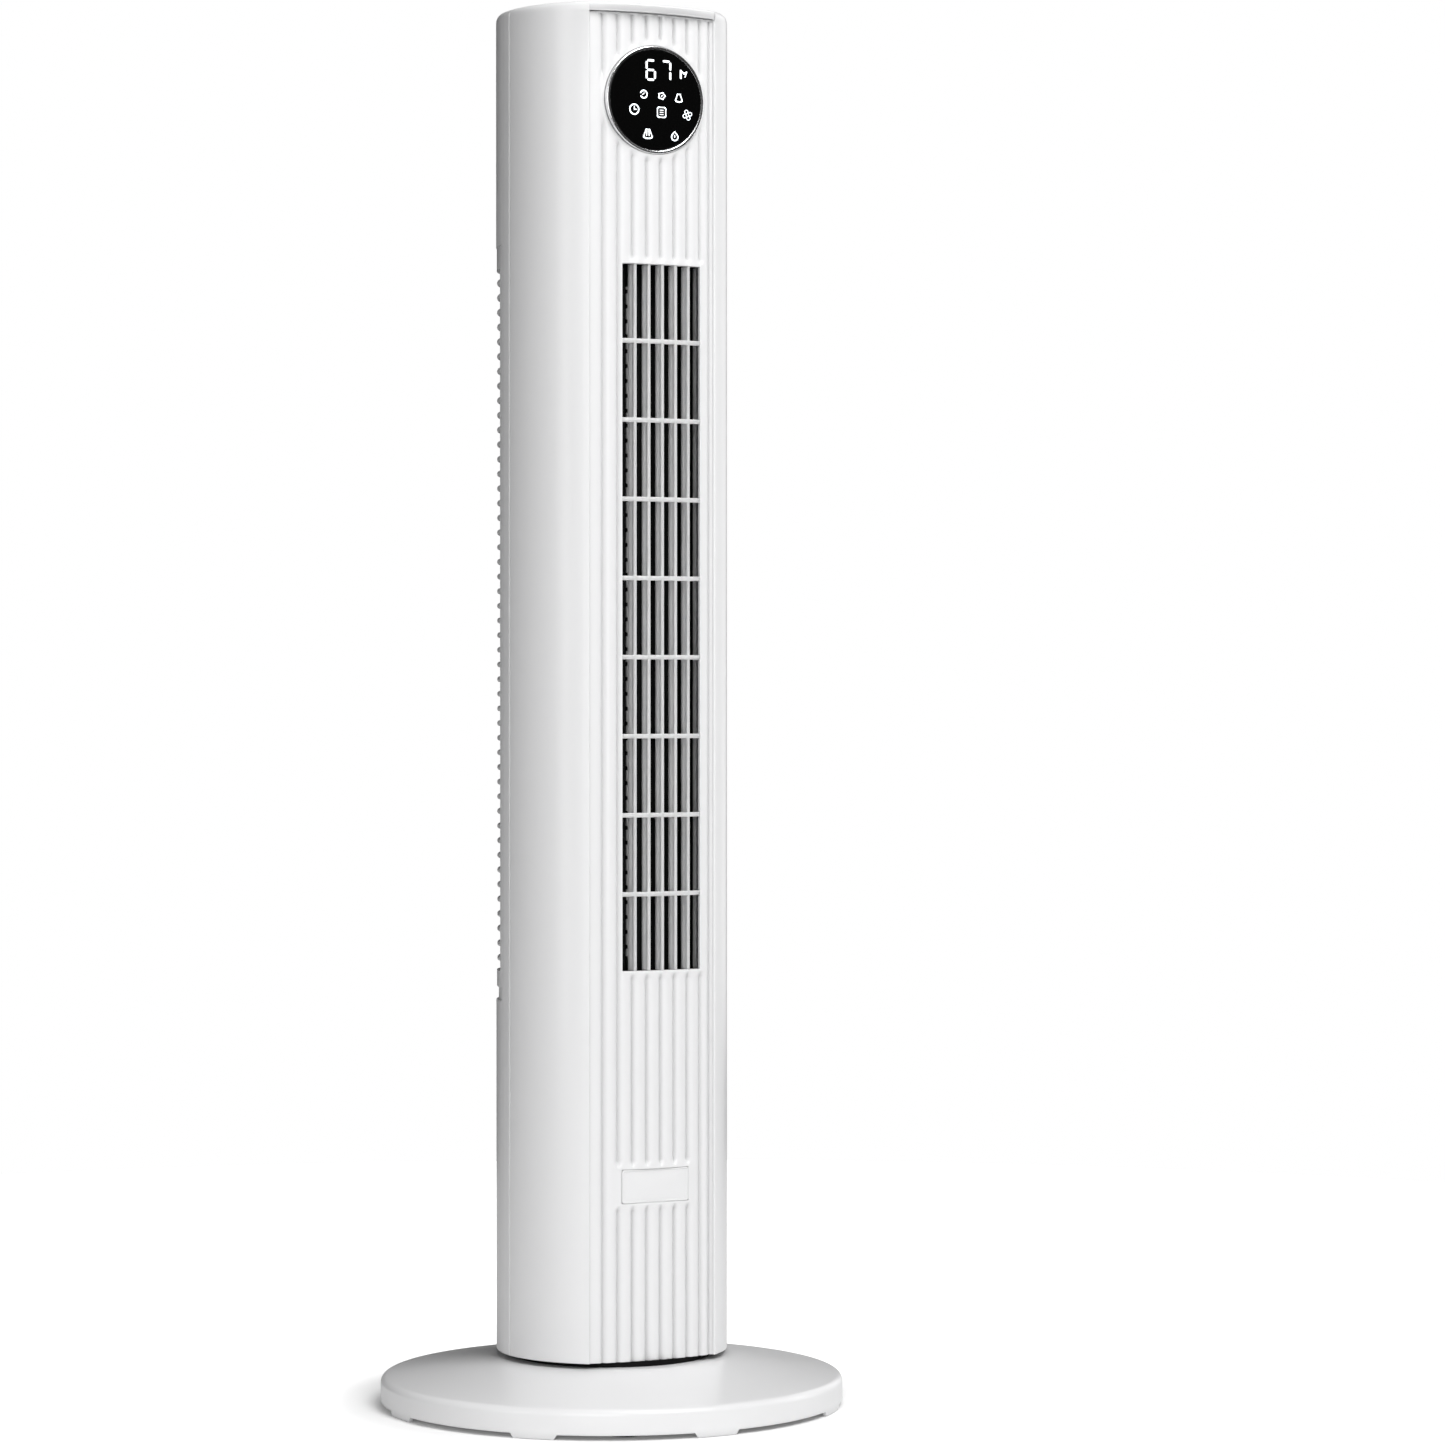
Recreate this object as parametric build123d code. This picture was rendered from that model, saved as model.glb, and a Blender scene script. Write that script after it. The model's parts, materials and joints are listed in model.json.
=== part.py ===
"""Tower fan: a swinging column with a cross-flow blower, on a round base.

Millimetres. The origin is the centre of the base on the floor, +Z is up and the front faces -Y.
"""
from build123d import *
from math import acos, cos, pi, radians, sin, sqrt, tan
import os

# ---------------------------------------------------------------- driving dimensions
TOTAL_HEIGHT = 914.4
BASE_R = 152.4
COLUMN_R = 76.2
WALL = 2.8
JOIN_GAP = 0.1

# base
FOOT_TAB_COUNT = 8
FOOT_TAB_WIDTH = 31.0
FOOT_TAB_TAPER = 2.0
FOOT_TAB_CLEAR = 0.2
RIM_Z = 3.2
RIM_SIDE_TOP = 15.0
RIM_ROUND = 5.0
CONE_TOP_Z = 33.0
BASE_WALL = 2.5
PLATE_THICK = 2.2
FOOT_R = 10.0
FOOT_RING_R = 128.0
BASE_SCREW_RING_R = 112.0
BASE_SCREW_COUNT = 6
BASE_SCREW_LONG = 11.0
CORD_R = 3.2
CORD_Z = 10.5

# swing pivot and its gear pair
COLUMN_Z = 36.4
POST_R = 22.05
POST_BORE_R = 11.0
RUN_CLEAR = 0.05
COLLAR_TOP = 52.0
GEAR_MODULE = 1.0
GEAR_TEETH = 64
PINION_TEETH = 16
GEAR_THICK = 6.0
GEAR_LIFT = 0.2
BACKLASH = 0.1
POST_FLANGE_R = 34.0
POST_FLANGE_THICK = 3.5
POST_SCREW_RING_R = 28.5
GEAR_SCREW_RING_R = 16.5
THRUST_RING_OUT_R = 66.0
THRUST_RING_IN_R = 52.0
PINION_SHAFT_R = 2.5
SWING_MOTOR_Z = 63.0
SWING_MOTOR_R = 17.5
SWING_MOTOR_TALL = 15.0
SWING_EAR_X = 21.0

# column shells and front panel
SEAM_Y = -4.0
SEAM_HALF_GAP = 0.1
SEAM_CHAMFER = 0.55
HOUSING_SCREW_X = 60.0
HOUSING_SCREW_ZS = [90.0, 235.0, 790.0, 885.0]
HOUSING_BOSS_R = 5.5
RIM_TOP = 913.8
LEDGE_THICK = 1.4
SHELL_FRONT_Y = -65.6
LEDGE_FRONT_Y = -69.0
PANEL_HALF = 45.2
PANEL_TOP = 907.6
PANEL_FRONT_Y = -64.5
PANEL_BOW_R = 195.0
PANEL_THICK = 3.0
GROOVE_X0 = -35.6
GROOVE_COUNT = 8
GROOVE_PITCH = 10.0
GROOVE_EDGE_X = 42.3
REED_DEPTH = 1.8
GROOVE_R = 3.2
GROOVE_END_GAP = 3.0

# outlet grille
OUT_X0 = -22.9
OUT_X1 = 34.0
OUT_Z0 = 289.0
OUT_Z1 = 746.0
OUT_ROWS = 9
FIN_COUNT = 5
FIN_THICK = 1.8
FIN_DEPTH = 8.5
BAR_THICK = 2.9
BAR_DEPTH = 3.0
FLANGE_WIDE = 6.0
FLANGE_THICK = 2.0
CHEEK_THICK = 1.5
CHEEK_DEPTH = 10.5

# control window and badge
DISC_Z = 852.2
RING_R = 34.9
RING_WIDTH = 2.3
RING_FRONT_Y = -65.2
BADGE_X0 = -23.5
BADGE_X1 = 24.5
BADGE_Z = 149.7
BADGE_HALF_H = 10.85

# rear grille
INTAKE_Z0 = 267.3
GRILLE_Z0 = 275.5
GRILLE_Z1 = 761.4
GRILLE_INSET = 0.4
GRILLE_HALF_ANGLE = 82.0
SLAT_COUNT = 47
SLAT_PITCH = 9.66
SLAT_TOP_Z = 738.7
SLAT_TALL = 3.8
SLAT_INSET = 0.2
SLOT_HALF_ANGLE = 79.0
GRILLE_DEEP = 3.6
BAND_DEEP = 1.6
WINDOW_COUNT = 4
UPRIGHT_ANGLE = 1.4

# blower
WHEEL_R = 45.0
WHEEL_Z0 = 284.0
WHEEL_Z1 = 752.0
WHEEL_SEGMENTS = 9
BLADE_COUNT = 35
BLADE_CHORD = 9.5
BLADE_THICK = 1.0
SHAFT_R = 4.0
MOTOR_PLATE_Z = 262.0
BRACKET_Z = 765.0
SHELF_THICK = 3.0
MOTOR_TOP = 253.0
MOTOR_BOTTOM = 196.0
MOTOR_EAR_RING_R = 33.0
MOTOR_EAR_ANGLES = (30, 150, 270)

# air duct round the blower
DUCT_THICK = 2.0
SCROLL_START_DEG = 75.0
SCROLL_END_DEG = -54.0
SCROLL_START_R = 48.5
SCROLL_END_R = 64.0
COMB_X0 = -14.4
COMB_X1 = -11.8
COMB_Y = -50.6
COMB_Z0 = 304.0
COMB_Z1 = 726.0
COMB_GAP = 2.4
COMB_SPINE = 1.2

# power board
BOARD_Y = -38.0
BOARD_Z0 = 95.0
BOARD_Z1 = 175.0

# carry handle in the back of the column
HANDLE_HALF = 38.0
HANDLE_Z0 = 812.0
HANDLE_Z1 = 852.0
HANDLE_DEEP_Y = 40.0
CUP_WALL = 2.0

SCREW_R = 1.7
SCREW_HOLE_R = 1.75
HEAD_R = 3.2
HEAD_TALL = 2.0

# ---------------------------------------------------------------- worked-out dimensions
GEAR_R = GEAR_MODULE * GEAR_TEETH / 2
PINION_R = GEAR_MODULE * PINION_TEETH / 2
PINION_Y = GEAR_R + PINION_R
SWING_MOTOR_Y = PINION_Y + 8.0
GEAR_Z = COLLAR_TOP + GEAR_LIFT
PLATE_Z = RIM_Z + GEAR_LIFT
PLATE_TOP = PLATE_Z + PLATE_THICK
UNDER_CONE = CONE_TOP_Z - BASE_WALL
FLOOR_TOP = COLUMN_Z + SHELF_THICK
OPEN_HALF = PANEL_HALF + 0.3
OPEN_TOP = PANEL_TOP + 0.3
LEDGE_TOP = OPEN_TOP + LEDGE_THICK
SLOT_WIDE = (OUT_X1 - OUT_X0 - FIN_COUNT * FIN_THICK) / (FIN_COUNT + 1)
FIN_XS = [OUT_X0 + (i + 1) * (SLOT_WIDE + FIN_THICK) - FIN_THICK / 2 for i in range(FIN_COUNT)]
GROOVE_XS = [GROOVE_X0 + i * GROOVE_PITCH for i in range(GROOVE_COUNT)] + [GROOVE_EDGE_X]
GLASS_R = RING_R - RING_WIDTH
DUCT_Z0 = MOTOR_PLATE_Z + SHELF_THICK
DUCT_Z1 = BRACKET_Z - 3.2


# ---------------------------------------------------------------- small builders
def disc(radius, z0, z1, x=0.0, y=0.0):
    """Upright cylinder from z0 to z1."""
    return Pos(x, y, (z0 + z1) / 2) * Cylinder(radius, z1 - z0)


def tube(outer, inner, z0, z1, x=0.0, y=0.0):
    """Upright cylinder with a hole right through it."""
    return disc(outer, z0, z1, x, y) - disc(inner, z0 - 1, z1 + 1, x, y)


def block(x0, x1, y0, y1, z0, z1):
    """Box between two corners."""
    return Pos((x0 + x1) / 2, (y0 + y1) / 2, (z0 + z1) / 2) * Box(x1 - x0, y1 - y0, z1 - z0)


def rod_y(radius, y0, y1, x, z):
    """Cylinder along Y."""
    return Pos(x, (y0 + y1) / 2, z) * Rot(90, 0, 0) * Cylinder(radius, y1 - y0)


def around(piece, count, start=0.0):
    """Copies of a piece, evenly turned about Z."""
    return [Rot(0, 0, start + i * 360 / count) * piece for i in range(count)]


def mirrored(piece):
    """A piece and its mirror image across the plane X = 0."""
    return [piece, mirror(piece, Plane.YZ)]


def group(pieces):
    """Separate solids kept in one node."""
    return Compound(children=[solid for piece in pieces for solid in piece.solids()])


def column_prism(inset, z0, z1, front_y=SHELL_FRONT_Y):
    """The column's plan, a circle with a bowed flat front, inset and extruded."""
    rise = -front_y - sqrt(COLUMN_R**2 - OPEN_HALF**2)
    bow_r = (OPEN_HALF**2 + rise**2) / (2 * rise)
    return disc(COLUMN_R - inset, z0, z1) & disc(bow_r - inset, z0, z1, 0, front_y + bow_r)


def panel_layer(depth0, depth1, x0, x1, z0, z1):
    """A layer that follows the bowed panel, between two depths behind its crests."""
    centre_y = PANEL_FRONT_Y + PANEL_BOW_R
    layer = disc(PANEL_BOW_R - depth0, z0, z1, 0, centre_y) - disc(PANEL_BOW_R - depth1, z0, z1, 0, centre_y)
    return layer & block(x0, x1, PANEL_FRONT_Y - 5, PANEL_FRONT_Y + 25, z0, z1)


def behind_panel(depth, z0, z1):
    """Everything that lies deeper than a depth behind the panel's crests."""
    return disc(PANEL_BOW_R - depth, z0, z1, 0, PANEL_FRONT_Y + PANEL_BOW_R)


def shelf(z0, z1):
    """Flat plate that fills the column inside its shells and behind its panel."""
    return column_prism(WALL + JOIN_GAP, z0, z1) & behind_panel(6.0, z0, z1)


def upright_screw(length, z_head, x=0.0, y=0.0):
    """Pan-head screw pointing down, its head's underside at z_head."""
    return disc(HEAD_R, z_head, z_head + HEAD_TALL, x, y) + disc(SCREW_R, z_head - length, z_head, x, y)


# ---------------------------------------------------------------- base
def base_outline(inset):
    """Half section of the base cover: upright side, rounded shoulder, shallow cone."""
    side_r = BASE_R - inset
    shoulder_r = BASE_R - RIM_ROUND
    radius = RIM_ROUND - inset
    top = CONE_TOP_Z - inset
    shoulder_z = RIM_SIDE_TOP + radius
    bottom = FOOT_TAB_CLEAR - inset
    middle = (shoulder_r + radius * cos(pi / 4), RIM_SIDE_TOP + radius * sin(pi / 4))
    outline = Polyline((0, top), (0, bottom), (side_r, bottom), (side_r, RIM_SIDE_TOP))
    outline += ThreePointArc((side_r, RIM_SIDE_TOP), middle, (shoulder_r, shoulder_z))
    outline += Polyline((shoulder_r, shoulder_z), (COLUMN_R, top), (0, top))
    return Plane.XZ * make_face(outline)


def base_screw_spots():
    ring = [radians(30 + i * 360 / BASE_SCREW_COUNT) for i in range(BASE_SCREW_COUNT)]
    return [(BASE_SCREW_RING_R * cos(a), BASE_SCREW_RING_R * sin(a)) for a in ring]


def base_cover():
    solid = revolve(base_outline(0), Axis.Z)
    hollow = revolve(base_outline(BASE_WALL), Axis.Z)
    shell = solid - hollow
    bosses = [disc(4.5, PLATE_TOP, CONE_TOP_Z, x, y) & solid for x, y in base_screw_spots()]
    half = FOOT_TAB_WIDTH / 2
    foot = half - FOOT_TAB_TAPER
    tab_face = Polyline((-half, RIM_Z + 1), (-half, RIM_Z), (-foot, FOOT_TAB_CLEAR - 1),
                        (foot, FOOT_TAB_CLEAR - 1), (half, RIM_Z), (half, RIM_Z + 1), close=True)
    tab = extrude(Plane.XZ * make_face(tab_face), BASE_R + 5)
    gaps = tube(BASE_R + 1, BASE_R - BASE_WALL - 1, FOOT_TAB_CLEAR - 1, RIM_Z) - around(tab, FOOT_TAB_COUNT)
    cover = shell - gaps + bosses
    cover -= disc(POST_R + 0.25, UNDER_CONE - 1, CONE_TOP_Z + 1)
    cover -= [disc(SCREW_HOLE_R, PLATE_TOP - 1, PLATE_TOP + 10, x, y) for x, y in base_screw_spots()]
    cover -= [disc(SCREW_HOLE_R, UNDER_CONE - 1, CONE_TOP_Z + 1, x, y) for x, y in post_screw_spots()]
    cover -= rod_y(CORD_R + 1.05, BASE_R - 8, BASE_R + 1, 0, CORD_Z)
    return cover


def base_plate():
    plate = disc(BASE_R - BASE_WALL - 0.3, PLATE_Z, PLATE_TOP)
    return plate - [disc(SCREW_HOLE_R, PLATE_Z - 1, PLATE_TOP + 1, x, y) for x, y in base_screw_spots()]


def base_screws():
    head = disc(HEAD_R, PLATE_Z - HEAD_TALL, PLATE_Z)
    shank = disc(SCREW_R, PLATE_Z, PLATE_Z + BASE_SCREW_LONG)
    return group([Pos(x, y, 0) * (head + shank) for x, y in base_screw_spots()])


def rubber_feet():
    foot = disc(FOOT_R, 0, PLATE_Z, FOOT_RING_R, 0)
    return group(around(foot, FOOT_TAB_COUNT, 360 / FOOT_TAB_COUNT / 2))


def post_screw_spots():
    ring = [radians(a) for a in (45, 135, 225, 315)]
    return [(POST_SCREW_RING_R * cos(a), POST_SCREW_RING_R * sin(a)) for a in ring]


def pivot_post():
    bottom = UNDER_CONE - POST_FLANGE_THICK
    post = disc(POST_R, bottom, GEAR_Z) + disc(POST_FLANGE_R, bottom, UNDER_CONE)
    post -= disc(POST_BORE_R, bottom - 1, GEAR_Z + 1)
    post -= [disc(SCREW_HOLE_R, bottom - 1, UNDER_CONE + 1, x, y) for x, y in post_screw_spots()]
    post -= [disc(SCREW_HOLE_R, GEAR_Z - 9, GEAR_Z + 1, x, y) for x, y in gear_screw_spots()]
    return post


def post_screws():
    return group([upright_screw(5.5, CONE_TOP_Z, x, y) for x, y in post_screw_spots()])


def thrust_ring():
    return tube(THRUST_RING_OUT_R, THRUST_RING_IN_R, CONE_TOP_Z, COLUMN_Z)


def cord_gland():
    neck = rod_y(CORD_R + 1.0, BASE_R - 8.2, BASE_R - 0.2, 0, CORD_Z)
    collar = rod_y(CORD_R + 1.6, BASE_R - 8.2, BASE_R - 3.5, 0, CORD_Z)
    return neck + collar - rod_y(CORD_R, BASE_R - 10, BASE_R + 1, 0, CORD_Z)


# ---------------------------------------------------------------- swing drive
def gear_outline(teeth, phase):
    """Involute spur gear face with 20 degree pressure angle; phase turns its first tooth, in degrees."""
    pressure = radians(20)
    pitch_r = GEAR_MODULE * teeth / 2
    base_r = pitch_r * cos(pressure)
    tip_r = pitch_r + GEAR_MODULE
    root_r = pitch_r - 1.25 * GEAR_MODULE
    half_at_pitch = pi / (2 * teeth) - BACKLASH / (2 * pitch_r)

    def half_tooth(radius):
        roll = acos(min(1.0, base_r / radius))
        return half_at_pitch + (tan(pressure) - pressure) - (tan(roll) - roll)

    steps = 4
    start_r = max(root_r, base_r)
    flank = [start_r + (tip_r - start_r) * i / steps for i in range(steps + 1)]
    if root_r < base_r:
        flank = [root_r] + flank
    points = []
    for i in range(teeth):
        middle = radians(phase) + 2 * pi * i / teeth
        left = [(r, middle - half_tooth(r)) for r in flank]
        right = [(r, middle + half_tooth(r)) for r in reversed(flank)]
        points += [(r * cos(a), r * sin(a)) for r, a in left + right]
    return make_face(Polyline(*points, close=True))


def gear_screw_spots():
    ring = [radians(a) for a in (90, 210, 330)]
    return [(GEAR_SCREW_RING_R * cos(a), GEAR_SCREW_RING_R * sin(a)) for a in ring]


def swing_gear():
    gear = Pos(0, 0, GEAR_Z) * extrude(gear_outline(GEAR_TEETH, 0), GEAR_THICK)
    gear -= disc(POST_BORE_R, GEAR_Z - 1, GEAR_Z + GEAR_THICK + 1)
    return gear - [disc(SCREW_HOLE_R, GEAR_Z - 1, GEAR_Z + 9, x, y) for x, y in gear_screw_spots()]


def gear_screws():
    return group([upright_screw(GEAR_THICK + 8, GEAR_Z + GEAR_THICK, x, y) for x, y in gear_screw_spots()])


def swing_pinion():
    gear = Pos(0, PINION_Y, GEAR_Z) * extrude(gear_outline(PINION_TEETH, 180 / PINION_TEETH), GEAR_THICK)
    return gear - disc(PINION_SHAFT_R, GEAR_Z - 1, GEAR_Z + GEAR_THICK + 1, 0, PINION_Y)


def pinion_shaft():
    return disc(PINION_SHAFT_R, GEAR_Z - 1, SWING_MOTOR_Z + 8, 0, PINION_Y)


def swing_motor():
    can = disc(SWING_MOTOR_R, SWING_MOTOR_Z, SWING_MOTOR_Z + SWING_MOTOR_TALL, 0, SWING_MOTOR_Y)
    ears = block(-SWING_EAR_X - 4, SWING_EAR_X + 4, SWING_MOTOR_Y - 4, SWING_MOTOR_Y + 4,
                 SWING_MOTOR_Z, SWING_MOTOR_Z + 1)
    plug = block(-7, 7, SWING_MOTOR_Y + 12, SWING_MOTOR_Y + 20, SWING_MOTOR_Z + 2, SWING_MOTOR_Z + 13)
    motor = can + ears + plug
    motor -= disc(PINION_SHAFT_R + RUN_CLEAR, SWING_MOTOR_Z - 1, SWING_MOTOR_Z + 9, 0, PINION_Y)
    ear_hole = disc(SCREW_HOLE_R, SWING_MOTOR_Z - 1, SWING_MOTOR_Z + 2, SWING_EAR_X, SWING_MOTOR_Y)
    return motor - mirrored(ear_hole)


def swing_motor_screws():
    return group(mirrored(upright_screw(9, SWING_MOTOR_Z + 1, SWING_EAR_X, SWING_MOTOR_Y)))


# ---------------------------------------------------------------- column shells
def full_shell():
    """Both housings as one tube, whose plan bows out a little further in the ledge over the front panel."""
    body = column_prism(0, COLUMN_Z, OPEN_TOP) + column_prism(0, OPEN_TOP, RIM_TOP, LEDGE_FRONT_Y)
    hollow = column_prism(WALL, COLUMN_Z - 1, LEDGE_TOP)
    return body - hollow - column_prism(WALL, LEDGE_TOP, RIM_TOP + 1, LEDGE_FRONT_Y)


def shell_ledges(y_from, y_to):
    """Short inner ledges, under the motor plate and under the bearing bracket."""
    ledges = []
    for z in (MOTOR_PLATE_Z, BRACKET_Z):
        ring = column_prism(WALL - 0.5, z - 3.1, z - 0.1) - column_prism(WALL + 3.5, z - 4, z + 1)
        ledges.append(ring & block(-80, 80, y_from, y_to, z - 4, z))
    return ledges


def seam_relief():
    """Vee that bevels both shells' edges along each side seam."""
    edge_x = sqrt(COLUMN_R**2 - SEAM_Y**2)
    reach = SEAM_CHAMFER + SEAM_HALF_GAP
    vee = Polyline((edge_x + 0.3, SEAM_Y - reach - 0.3), (edge_x + 0.3, SEAM_Y + reach + 0.3),
                   (edge_x - reach, SEAM_Y), close=True)
    return mirrored(Pos(0, 0, COLUMN_Z - 1) * extrude(make_face(vee), RIM_TOP - COLUMN_Z + 2))


def front_housing():
    shell = full_shell() & block(-80, 80, -80, SEAM_Y - SEAM_HALF_GAP, COLUMN_Z, RIM_TOP)
    shell -= block(-OPEN_HALF, OPEN_HALF, -80, -50, COLUMN_Z - 1, OPEN_TOP)
    web = block(OPEN_HALF, OPEN_HALF + 2, -80, -53.5, COLUMN_Z, PANEL_TOP)
    web &= column_prism(0, COLUMN_Z, PANEL_TOP)
    seat = panel_layer(PANEL_THICK + 0.1, 5.6, 41, OPEN_HALF + 1, COLUMN_Z, PANEL_TOP)
    side = web + seat
    bosses = []
    for z in HOUSING_SCREW_ZS:
        boss = rod_y(HOUSING_BOSS_R, -48, SEAM_Y - SEAM_HALF_GAP, HOUSING_SCREW_X, z)
        bosses += mirrored(boss & column_prism(WALL / 2, z - 8, z + 8))
    shell = shell + mirrored(side) + bosses + shell_ledges(-60, SEAM_Y - SEAM_HALF_GAP)
    for z in HOUSING_SCREW_ZS:
        shell -= mirrored(rod_y(SCREW_HOLE_R, -20, 0, HOUSING_SCREW_X, z))
    return shell - seam_relief() - panel_space()


def panel_space():
    """Room that the front panel and the grille's flange take out of the shell's ledges."""
    return panel_layer(-3, PANEL_THICK + 0.1, -OPEN_HALF, OPEN_HALF, COLUMN_Z - 1, OPEN_TOP)


def rear_screw_tube(z):
    """Tube that leads a housing screw from the back of the column to the seam."""
    outer = rod_y(HOUSING_BOSS_R, SEAM_Y + SEAM_HALF_GAP, 50, HOUSING_SCREW_X, z)
    return outer & column_prism(WALL / 2, z - 8, z + 8)


def rear_screw_hole(z):
    return rod_y(SCREW_HOLE_R, SEAM_Y - 1, 10, HOUSING_SCREW_X, z) + rod_y(3.6, 2, 60, HOUSING_SCREW_X, z)


def arc_bar(outer, inner, z0, z1, half_angle, centre_angle=0.0):
    """Curved bar about the column's axis; angles are counted from the back, in degrees."""
    section = Plane.XZ * Pos((outer + inner) / 2, (z0 + z1) / 2) * Rectangle(outer - inner, z1 - z0)
    return Rot(0, 0, 90 - half_angle + centre_angle) * revolve(section, Axis.Z, 2 * half_angle)


def rear_housing():
    shell = full_shell() & block(-80, 80, SEAM_Y + SEAM_HALF_GAP, 80, COLUMN_Z, RIM_TOP)
    shell += shell_ledges(SEAM_Y + SEAM_HALF_GAP, 80)
    for z in HOUSING_SCREW_ZS:
        shell += mirrored(rear_screw_tube(z))
    for z in HOUSING_SCREW_ZS:
        shell -= mirrored(rear_screw_hole(z))
    shell -= arc_bar(COLUMN_R + 1, COLUMN_R - 6, INTAKE_Z0, GRILLE_Z1 + 0.2, GRILLE_HALF_ANGLE + 0.2)
    band_half = GRILLE_HALF_ANGLE + 0.3
    shell += arc_bar(COLUMN_R - BAND_DEEP, COLUMN_R - WALL, INTAKE_Z0 - 0.5, GRILLE_Z0, band_half)
    shell -= block(-HANDLE_HALF, HANDLE_HALF, HANDLE_DEEP_Y, 80, HANDLE_Z0, HANDLE_Z1)
    return shell - seam_relief()


def handle_cup():
    half = HANDLE_HALF + CUP_WALL
    body = block(-half, half, HANDLE_DEEP_Y - CUP_WALL, 80, HANDLE_Z0 - CUP_WALL, HANDLE_Z1 + CUP_WALL)
    body &= column_prism(WALL + JOIN_GAP, HANDLE_Z0 - 5, HANDLE_Z1 + 5)
    return body - block(-HANDLE_HALF, HANDLE_HALF, HANDLE_DEEP_Y, 90, HANDLE_Z0, HANDLE_Z1)


def housing_screws():
    screws = []
    for z in HOUSING_SCREW_ZS:
        screw = rod_y(HEAD_R, 2, 4, HOUSING_SCREW_X, z) + rod_y(SCREW_R, -14, 2, HOUSING_SCREW_X, z)
        screws += mirrored(screw)
    return group(screws)


def top_cover():
    crown_rise = TOTAL_HEIGHT - RIM_TOP
    crown_r = (COLUMN_R**2 + crown_rise**2) / (2 * crown_rise)
    lid = column_prism(WALL + JOIN_GAP, LEDGE_TOP + JOIN_GAP, TOTAL_HEIGHT, LEDGE_FRONT_Y)
    return lid & (Pos(0, 0, TOTAL_HEIGHT - crown_r) * Sphere(crown_r))


def column_floor():
    floor = shelf(COLUMN_Z, FLOOR_TOP) + disc(POST_R + 3.5, COLUMN_Z, COLLAR_TOP)
    floor += mirrored(disc(3.6, COLUMN_Z, SWING_MOTOR_Z, SWING_EAR_X, SWING_MOTOR_Y))
    floor -= disc(POST_R + RUN_CLEAR, COLUMN_Z - 1, COLLAR_TOP + 1)
    pillar_hole = disc(SCREW_HOLE_R, SWING_MOTOR_Z - 9, SWING_MOTOR_Z + 1, SWING_EAR_X, SWING_MOTOR_Y)
    return floor - mirrored(pillar_hole)


# ---------------------------------------------------------------- front panel and its fittings
def groove(x, z0, z1):
    """One vertical groove between two reeds."""
    crest_y = PANEL_FRONT_Y + PANEL_BOW_R - sqrt(PANEL_BOW_R**2 - x**2)
    return disc(GROOVE_R, z0, z1, x, crest_y + REED_DEPTH - GROOVE_R)


def front_panel():
    panel = panel_layer(0, PANEL_THICK, -PANEL_HALF, PANEL_HALF, COLUMN_Z, PANEL_TOP)
    badge_z0 = BADGE_Z - BADGE_HALF_H - GROOVE_END_GAP
    badge_z1 = BADGE_Z + BADGE_HALF_H + GROOVE_END_GAP
    for x in GROOVE_XS:
        over_badge = BADGE_X0 - GROOVE_R < x < BADGE_X1 + GROOVE_R
        over_grille = OUT_X0 < x < OUT_X1 + GROOVE_R
        runs = [(COLUMN_Z - 1, badge_z0 if over_badge else OUT_Z0 - GROOVE_END_GAP)]
        if over_badge:
            runs.append((badge_z1, OUT_Z0 - GROOVE_END_GAP))
        if not over_grille:
            runs.append((OUT_Z0 - GROOVE_END_GAP, OUT_Z1 + GROOVE_END_GAP))
        ring_half = sqrt(max((RING_R + GROOVE_END_GAP) ** 2 - x**2, 0))
        runs.append((OUT_Z1 + GROOVE_END_GAP, DISC_Z - ring_half))
        runs.append((DISC_Z + ring_half, PANEL_TOP - 2))
        panel -= [groove(x, z0, z1) for z0, z1 in runs]
    panel -= block(OUT_X0, OUT_X1, -80, -50, OUT_Z0, OUT_Z1)
    panel -= rod_y(RING_R + JOIN_GAP, -80, -50, 0, DISC_Z)
    return panel - badge_pocket()


def badge_pocket():
    half = BADGE_HALF_H + JOIN_GAP
    return panel_layer(-3, 1.3, BADGE_X0 - JOIN_GAP, BADGE_X1 + JOIN_GAP, BADGE_Z - half, BADGE_Z + half)


def badge_plate():
    return panel_layer(-0.5, 1.2, BADGE_X0, BADGE_X1, BADGE_Z - BADGE_HALF_H, BADGE_Z + BADGE_HALF_H)


def outlet_grille():
    near = PANEL_THICK + JOIN_GAP
    flange = panel_layer(near, near + FLANGE_THICK, OUT_X0 - FLANGE_WIDE, OUT_X1 + FLANGE_WIDE,
                         OUT_Z0 - FLANGE_WIDE, OUT_Z1 + FLANGE_WIDE)
    flange += panel_layer(near, CHEEK_DEPTH, OUT_X1, OUT_X1 + CHEEK_THICK, OUT_Z0, OUT_Z1)
    flange -= block(OUT_X0, OUT_X1, -80, -40, OUT_Z0, OUT_Z1)
    row_pitch = (OUT_Z1 - OUT_Z0 + BAR_THICK) / OUT_ROWS
    bars = []
    for i in range(1, OUT_ROWS):
        z = OUT_Z0 - BAR_THICK + i * row_pitch
        bars.append(panel_layer(0, BAR_DEPTH, OUT_X0 + JOIN_GAP, OUT_X1 - JOIN_GAP, z, z + BAR_THICK))
    fins = []
    for x in FIN_XS:
        half = FIN_THICK / 2
        fins.append(panel_layer(0, FIN_DEPTH, x - half, x + half, OUT_Z0 + JOIN_GAP, OUT_Z1 - JOIN_GAP))
        for z0, z1 in ((OUT_Z0 - 3, OUT_Z0 + 1), (OUT_Z1 - 1, OUT_Z1 + 3)):
            fins.append(panel_layer(near, FIN_DEPTH, x - half, x + half, z0, z1))
    return flange + bars + fins


def bezel_ring():
    ring = rod_y(RING_R, RING_FRONT_Y, -59.0, 0, DISC_Z) - rod_y(GLASS_R + 0.1, -80, -63.2, 0, DISC_Z)
    return ring - rod_y(GLASS_R - 2, -80, -50, 0, DISC_Z)


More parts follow.
